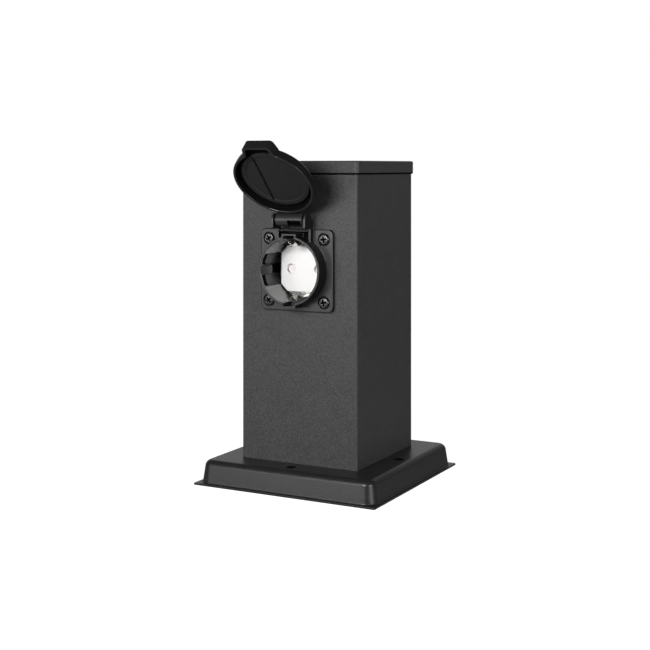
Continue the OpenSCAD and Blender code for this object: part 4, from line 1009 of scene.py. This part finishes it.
def make_lid():
    rim = HINGE_REACH
    face = rim + LID_H
    face_in = face - LID_FACE_T
    inner = LID_R - LID_WALL
    profile = [
        (0, face),
        *arc((LID_R - LID_EDGE_R, face - LID_EDGE_R), LID_EDGE_R, 90, 0, 8),
        *arc((LID_R - LID_RIM_R, rim + LID_RIM_R), LID_RIM_R, 0, -90, 4),
        *arc((inner + LID_RIM_R, rim + LID_RIM_R), LID_RIM_R, -90, -180, 4),
        (inner, face_in), (0, face_in),
    ]
    lid = lathe("lid_cover", profile, 128)
    thumb = make_tab(0, rim + 2 * TINY, rim + TAB_H)
    round_edges(thumb, lambda p: near(p.z, rim + TAB_H), TAB_EDGE_R, 4)
    strap_half = BARREL_HALF - STRAP_STEP
    strap = block("strap", (-strap_half, LID_R - 2 * BARREL_R, rim + BARREL_R - STRAP_T),
                  (strap_half, HINGE_RISE, rim + BARREL_R - 2 * TINY))
    barrel = rod("barrel", BARREL_R, -BARREL_HALF, BARREL_HALF, (HINGE_RISE, rim), 64, "X")
    for piece in (thumb, strap):
        cut(piece, rod("way", LID_R - LID_WALL / 2, rim - PAST, face, sides=128))
        add(lid, piece)
    add(lid, barrel)
    cut(
        lid,
        make_tab(LID_WALL, rim - PAST, rim + TAB_H - LID_WALL),
        rod("pin_bore", PIN_RUN_R, -BARREL_HALF - PAST, BARREL_HALF + PAST, (HINGE_RISE, rim), 32, "X"),
        rod("spring_room", SPRING_ROOM_R, SPRING_LOW_X, SPRING_HIGH_X, (HINGE_RISE, rim), 48, "X"),
        block("window", (SPRING_LOW_X - 2 * TINY, HINGE_RISE - SPRING_WINDOW_W / 2, rim - 2 * BARREL_R),
              (SPRING_HIGH_X + 2 * TINY, HINGE_RISE + SPRING_WINDOW_W / 2, rim)),
    )
    soften(lid, LID_BREAK)
    kinds = [lid_finish(face) for face in lid.data.polygons]
    set_in(lid, LID_PLACE)
    fit(lid, "lid", "black_plastic", LID_PLASTIC, "lid_shell")
    return shade(lid, kinds, PAINTED_SHADE, SHADED_SIDE_PLASTIC, BLACK_PLASTIC)


def make_seal():
    back = HINGE_REACH + LID_H - LID_FACE_T
    ring_in = SEAL_R - SEAL_RING_W
    floor = SEAL_Z + SEAL_SINK
    ring = [(0, back), (SEAL_R, back), (SEAL_R, SEAL_Z), (ring_in, SEAL_Z)]
    seal = lathe("lid_seal_disc", [*ring, (ring_in - SEAL_SINK, floor), (0, floor)], 128)
    half = SEAL_GROOVE_W / 2
    cut(seal, block("groove", (-SEAL_GROOVE_X - half, -ring_in, SEAL_Z - PAST),
                    (-SEAL_GROOVE_X + half, ring_in, floor + SEAL_CUT)))
    soften(seal, SEAL_BREAK, 3)
    set_in(seal, LID_PLACE)
    return fit(seal, "lid", "seal_rubber", SEAL_RUBBER, "lid_seal")


def make_hinge_pin():
    half = EAR_AT + EAR_T
    first_end = [(0, -half), (PIN_R - PIN_END, -half), (PIN_R, -half + PIN_END)]
    last_end = [(PIN_R, half - PIN_END), (PIN_R - PIN_END, half), (0, half)]
    pin = lathe("hinge_pin_rod", first_end + last_end, 48, along="X")
    only(pin)
    bpy.ops.object.shade_smooth_by_angle(angle=math.radians(CREASE_ANGLE))
    set_in(pin, SOCKET_PLACE @ Matrix.Translation((0, HINGE_RISE, HINGE_REACH)))
    return fit(pin, "post", "spring_steel", SPRING_STEEL, "hinge_pin")


# Springs and wires
def wire_tube(name, path, radius, sides=4):
    """A round wire along points, made a mesh with closed ends."""
    curve = bpy.data.curves.new(name, "CURVE")
    curve.dimensions = "3D"
    curve.bevel_depth = radius
    curve.bevel_resolution = sides
    curve.use_fill_caps = True
    line = curve.splines.new("POLY")
    line.points.add(len(path) - 1)
    for point, place in zip(line.points, path):
        point.co = (*place, 1)
    piece = bpy.data.objects.new(name, curve)
    bpy.context.collection.objects.link(piece)
    only(piece)
    bpy.ops.object.convert(target="MESH")
    piece = bpy.context.object
    tidy_mesh(piece)
    only(piece)
    bpy.ops.object.shade_smooth_by_angle(angle=math.radians(WIRE_ANGLE))
    return piece


def make_lid_spring():
    """One unbroken wire wound round the pin, with straight ends into the barrel's walls."""
    count = SPRING_TURNS * RING_STEPS
    run = SPRING_HIGH_X - SPRING_LOW_X - 4 * SPRING_WIRE_R
    start = SPRING_LOW_X + 2 * SPRING_WIRE_R
    path = [(SPRING_LOW_X, SPRING_R, 0)]
    for i in range(count + 1):
        turn = 2 * math.pi * i / RING_STEPS
        path.append((start + run * i / count, SPRING_R * math.cos(turn), SPRING_R * math.sin(turn)))
    path.append((SPRING_HIGH_X, SPRING_R, 0))
    spring = wire_tube("lid_return_spring", path, SPRING_WIRE_R)
    set_in(spring, LID_PLACE @ Matrix.Translation((0, HINGE_RISE, HINGE_REACH)))
    return fit(spring, "lid", "spring_steel", SPRING_STEEL, "lid_spring")


def flowing(points, steps=12):
    """Points of a smooth line through a few points."""
    knots = [Vector(p) for p in points]
    knots = [2 * knots[0] - knots[1], *knots, 2 * knots[-1] - knots[-2]]
    line = []
    for a, b, c, d in zip(knots, knots[1:], knots[2:], knots[3:]):
        for i in range(steps):
            t = i / steps
            square = (2 * a - 5 * b + 4 * c - d) * t**2
            cube = (3 * b - a - 3 * c + d) * t**3
            line.append(0.5 * (2 * b + (c - a) * t + square + cube))
    return [*line, knots[-2]]


def make_shutter_spring():
    """A flat return spring in the carrier, behind the shutter."""
    low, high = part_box("shutter_spring")
    radius = (high.x - low.x) / 2 - SHUTTER_WIRE_R
    count = SHUTTER_SPRING_TURNS * RING_STEPS
    run = high.y - low.y - 2 * SHUTTER_WIRE_R
    path = []
    for i in range(count + 1):
        turn = 2 * math.pi * i / RING_STEPS
        y = low.y + SHUTTER_WIRE_R + run * i / count
        path.append((radius * math.cos(turn), y, SOCKET_Z + radius * math.sin(turn)))
    spring = wire_tube("shutter_return_spring", path, SHUTTER_WIRE_R)
    return fit(spring, "post", "spring_steel", SPRING_STEEL, "shutter_spring")


def make_wires():
    """Three inner wires from the socket's clamps down to the block, and the bond of the foot bracket."""
    for name, start_x, end_x, slot, finish in (
        ("line_wire", -PIN_AT, -POLE_PITCH, "brown_wire", BROWN_WIRE),
        ("earth_wire", 0, 0, "green_wire", GREEN_WIRE),
        ("neutral_wire", PIN_AT, POLE_PITCH, "blue_wire", BLUE_WIRE),
    ):
        low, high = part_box(name)
        back = high.y - WIRE_R
        start = low.y
        straight = start + WIRE_STRAIGHT
        path = [
            (start_x, start, SOCKET_Z), (start_x, start + WIRE_LEAD, SOCKET_Z), (start_x, straight, SOCKET_Z),
            ((start_x + end_x) / 2, (straight + back) / 2, SOCKET_Z - WIRE_FALL),
            (end_x, back, SOCKET_Z - 2 * WIRE_FALL),
            (end_x, back, low.z + WIRE_STRAIGHT), (end_x, back, low.z),
        ]
        fit(wire_tube(name + "_sleeve", flowing(path), WIRE_R), "post", slot, finish, name)
    low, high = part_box("bond_wire")
    lug = (high.x, high.y - WIRE_R, low.z + WIRE_R)
    pole = (0, low.y + WIRE_R, high.z)
    path = [
        lug, (lug[0] - BOND_LEAD, lug[1], lug[2]), (lug[0] - BOND_RISE, lug[1], lug[2]),
        (0, (lug[1] + pole[1]) / 2, lug[2] + BOND_RISE),
        (0, pole[1], pole[2] - BOND_RISE), (0, pole[1], pole[2] - BOND_LEAD), pole,
    ]
    fit(wire_tube("bond_wire_sleeve", flowing(path), WIRE_R), "post", "green_wire", GREEN_WIRE, "bond_wire")


make_foot()
make_tube()
make_cap()
make_gasket()
make_housing()
make_flange_screws()
make_contact_plate()
make_earth_clip()
make_lid()
make_seal()
make_hinge_pin()
make_lid_spring()
make_shutter_spring()
make_wires()


# Stage: a level camera with its frame slid down from the horizon, a white room and three lamps
LOOK_TURN = math.radians(27.866)
CAMERA_PLACE = (0.37257, -0.70995, 0.19665)
SENSOR_WIDTH = 36
LENS_LENGTH = 69.58
FRAME_SLIDE = -0.2442
FLOOR_SIZE = 8
FLOOR_GREY = 0.35
SEEN_FLOOR_GREY = 0.3
FLOOR_GLOW = 0.99
ROOM_LIGHT = 0.03


def make_camera():
    lens = bpy.data.cameras.new("camera")
    lens.sensor_width = SENSOR_WIDTH
    lens.lens = LENS_LENGTH
    lens.shift_y = FRAME_SLIDE
    camera = bpy.data.objects.new("camera", lens)
    camera.location = CAMERA_PLACE
    camera.rotation_euler = (math.pi / 2, 0, LOOK_TURN)
    bpy.context.scene.collection.objects.link(camera)
    bpy.context.scene.camera = camera


def softbox(name, place, aim, size, power):
    light = bpy.data.lights.new(name, "AREA")
    light.shape = "RECTANGLE"
    light.size, light.size_y = size
    light.energy = power
    box = bpy.data.objects.new(name, light)
    box.location = place
    box.rotation_euler = (Vector(aim) - Vector(place)).to_track_quat("-Z", "Y").to_euler()
    bpy.context.scene.collection.objects.link(box)


def toward_backdrop(tree, vector, start, end, dim):
    """One where a direction or a place lies well over to the backdrop's side, and dim on the other side."""
    along = node(tree, "ShaderNodeVectorMath", "DOT_PRODUCT")
    along.inputs[1].default_value = (-math.sin(LOOK_TURN), math.cos(LOOK_TURN), 0)
    share = node(tree, "ShaderNodeMapRange", From_Min=start, From_Max=end, To_Min=dim, To_Max=1)
    tree.links.new(vector, along.inputs[0])
    tree.links.new(along.outputs["Value"], share.inputs["Value"])
    return share.outputs["Result"]


def reckon(tree, operation, *values):
    """One sum on sockets or plain numbers."""
    result = node(tree, "ShaderNodeMath", operation)
    for socket, value in zip(result.inputs, values):
        if isinstance(value, float):
            socket.default_value = value
        else:
            tree.links.new(value, socket)
    return result.outputs[0]


def seen_ray(tree, gloss_share):
    """One for rays from the camera and through glass, a share for gloss, and nought for the rest."""
    path = node(tree, "ShaderNodeLightPath")
    gloss = reckon(tree, "MULTIPLY", path.outputs["Is Glossy Ray"], gloss_share)
    seen = reckon(tree, "MAXIMUM", path.outputs["Is Camera Ray"], gloss)
    return reckon(tree, "MAXIMUM", seen, path.outputs["Is Transmission Ray"])


def make_floor():
    """A pale floor that looks white in the picture but keeps the shadow, and is plain under the foot."""
    floor = begin("floor", bpy.ops.mesh.primitive_plane_add, size=FLOOR_SIZE)
    choose_all(floor)
    bpy.ops.mesh.subdivide(number_cuts=3)
    bpy.ops.object.mode_set(mode="OBJECT")
    pale = bpy.data.materials.new("pale_floor")
    pale.use_nodes = True
    tree = pale.node_tree
    tree.nodes.clear()
    out = node(tree, "ShaderNodeOutputMaterial")
    matt = node(tree, "ShaderNodeBsdfDiffuse", Color=(*grey(FLOOR_GREY), 1))
    thin_matt = node(tree, "ShaderNodeBsdfDiffuse", Color=(*grey(SEEN_FLOOR_GREY), 1))
    glow = node(tree, "ShaderNodeEmission", Strength=FLOOR_GLOW)
    seen = node(tree, "ShaderNodeAddShader")
    tree.links.new(thin_matt.outputs[0], seen.inputs[0])
    tree.links.new(glow.outputs[0], seen.inputs[1])
    where = node(tree, "ShaderNodeNewGeometry")
    size = node(tree, "ShaderNodeVectorMath", "ABSOLUTE")
    split = node(tree, "ShaderNodeSeparateXYZ")
    aim = node(tree, "ShaderNodeVectorMath", "NORMALIZE")
    mix = node(tree, "ShaderNodeMixShader")
    tree.links.new(where.outputs["Position"], size.inputs[0])
    tree.links.new(size.outputs[0], split.inputs[0])
    tree.links.new(where.outputs["Position"], aim.inputs[0])
    larger = reckon(tree, "MAXIMUM", split.outputs["X"], split.outputs["Y"])
    outside = reckon(tree, "GREATER_THAN", larger, foot_high.x - LIP_W)
    gloss = toward_backdrop(tree, aim.outputs[0], 0.8, 0.95, 0.08)
    tree.links.new(reckon(tree, "MULTIPLY", seen_ray(tree, gloss), outside), mix.inputs["Fac"])
    tree.links.new(matt.outputs[0], mix.inputs[1])
    tree.links.new(seen.outputs[0], mix.inputs[2])
    tree.links.new(mix.outputs[0], out.inputs["Surface"])
    floor.data.materials.append(pale)


def make_world():
    """A dim room for the light, and white for what the camera and the gloss see."""
    world = bpy.data.worlds.new("studio")
    bpy.context.scene.world = world
    world.use_nodes = True
    tree = world.node_tree
    tree.nodes.clear()
    out = node(tree, "ShaderNodeOutputWorld")
    room = node(tree, "ShaderNodeBackground", Strength=ROOM_LIGHT)
    white = node(tree, "ShaderNodeBackground", Color=(1, 1, 1, 1), Strength=1)
    mix = node(tree, "ShaderNodeMixShader")
    where = node(tree, "ShaderNodeTexCoord")
    gloss = toward_backdrop(tree, where.outputs["Generated"], 0.5, 1.4, 0.03)
    tree.links.new(seen_ray(tree, gloss), mix.inputs["Fac"])
    tree.links.new(room.outputs[0], mix.inputs[1])
    tree.links.new(white.outputs[0], mix.inputs[2])
    tree.links.new(mix.outputs[0], out.inputs["Surface"])


make_camera()
make_floor()
make_world()
softbox("front_box", (0, -0.7, 0.32), (0, 0, 0.2), (0.25, 0.22), 4.1)
softbox("left_box", (-0.5, -0.98, 0.2), (0, 0, 0.12), (0.3, 0.3), 1.6)
softbox("right_box", (0.95, -0.35, 0.25), (0, 0, 0.1), (0.4, 0.4), 4.2)
bpy.context.scene.view_settings.view_transform = "Standard"
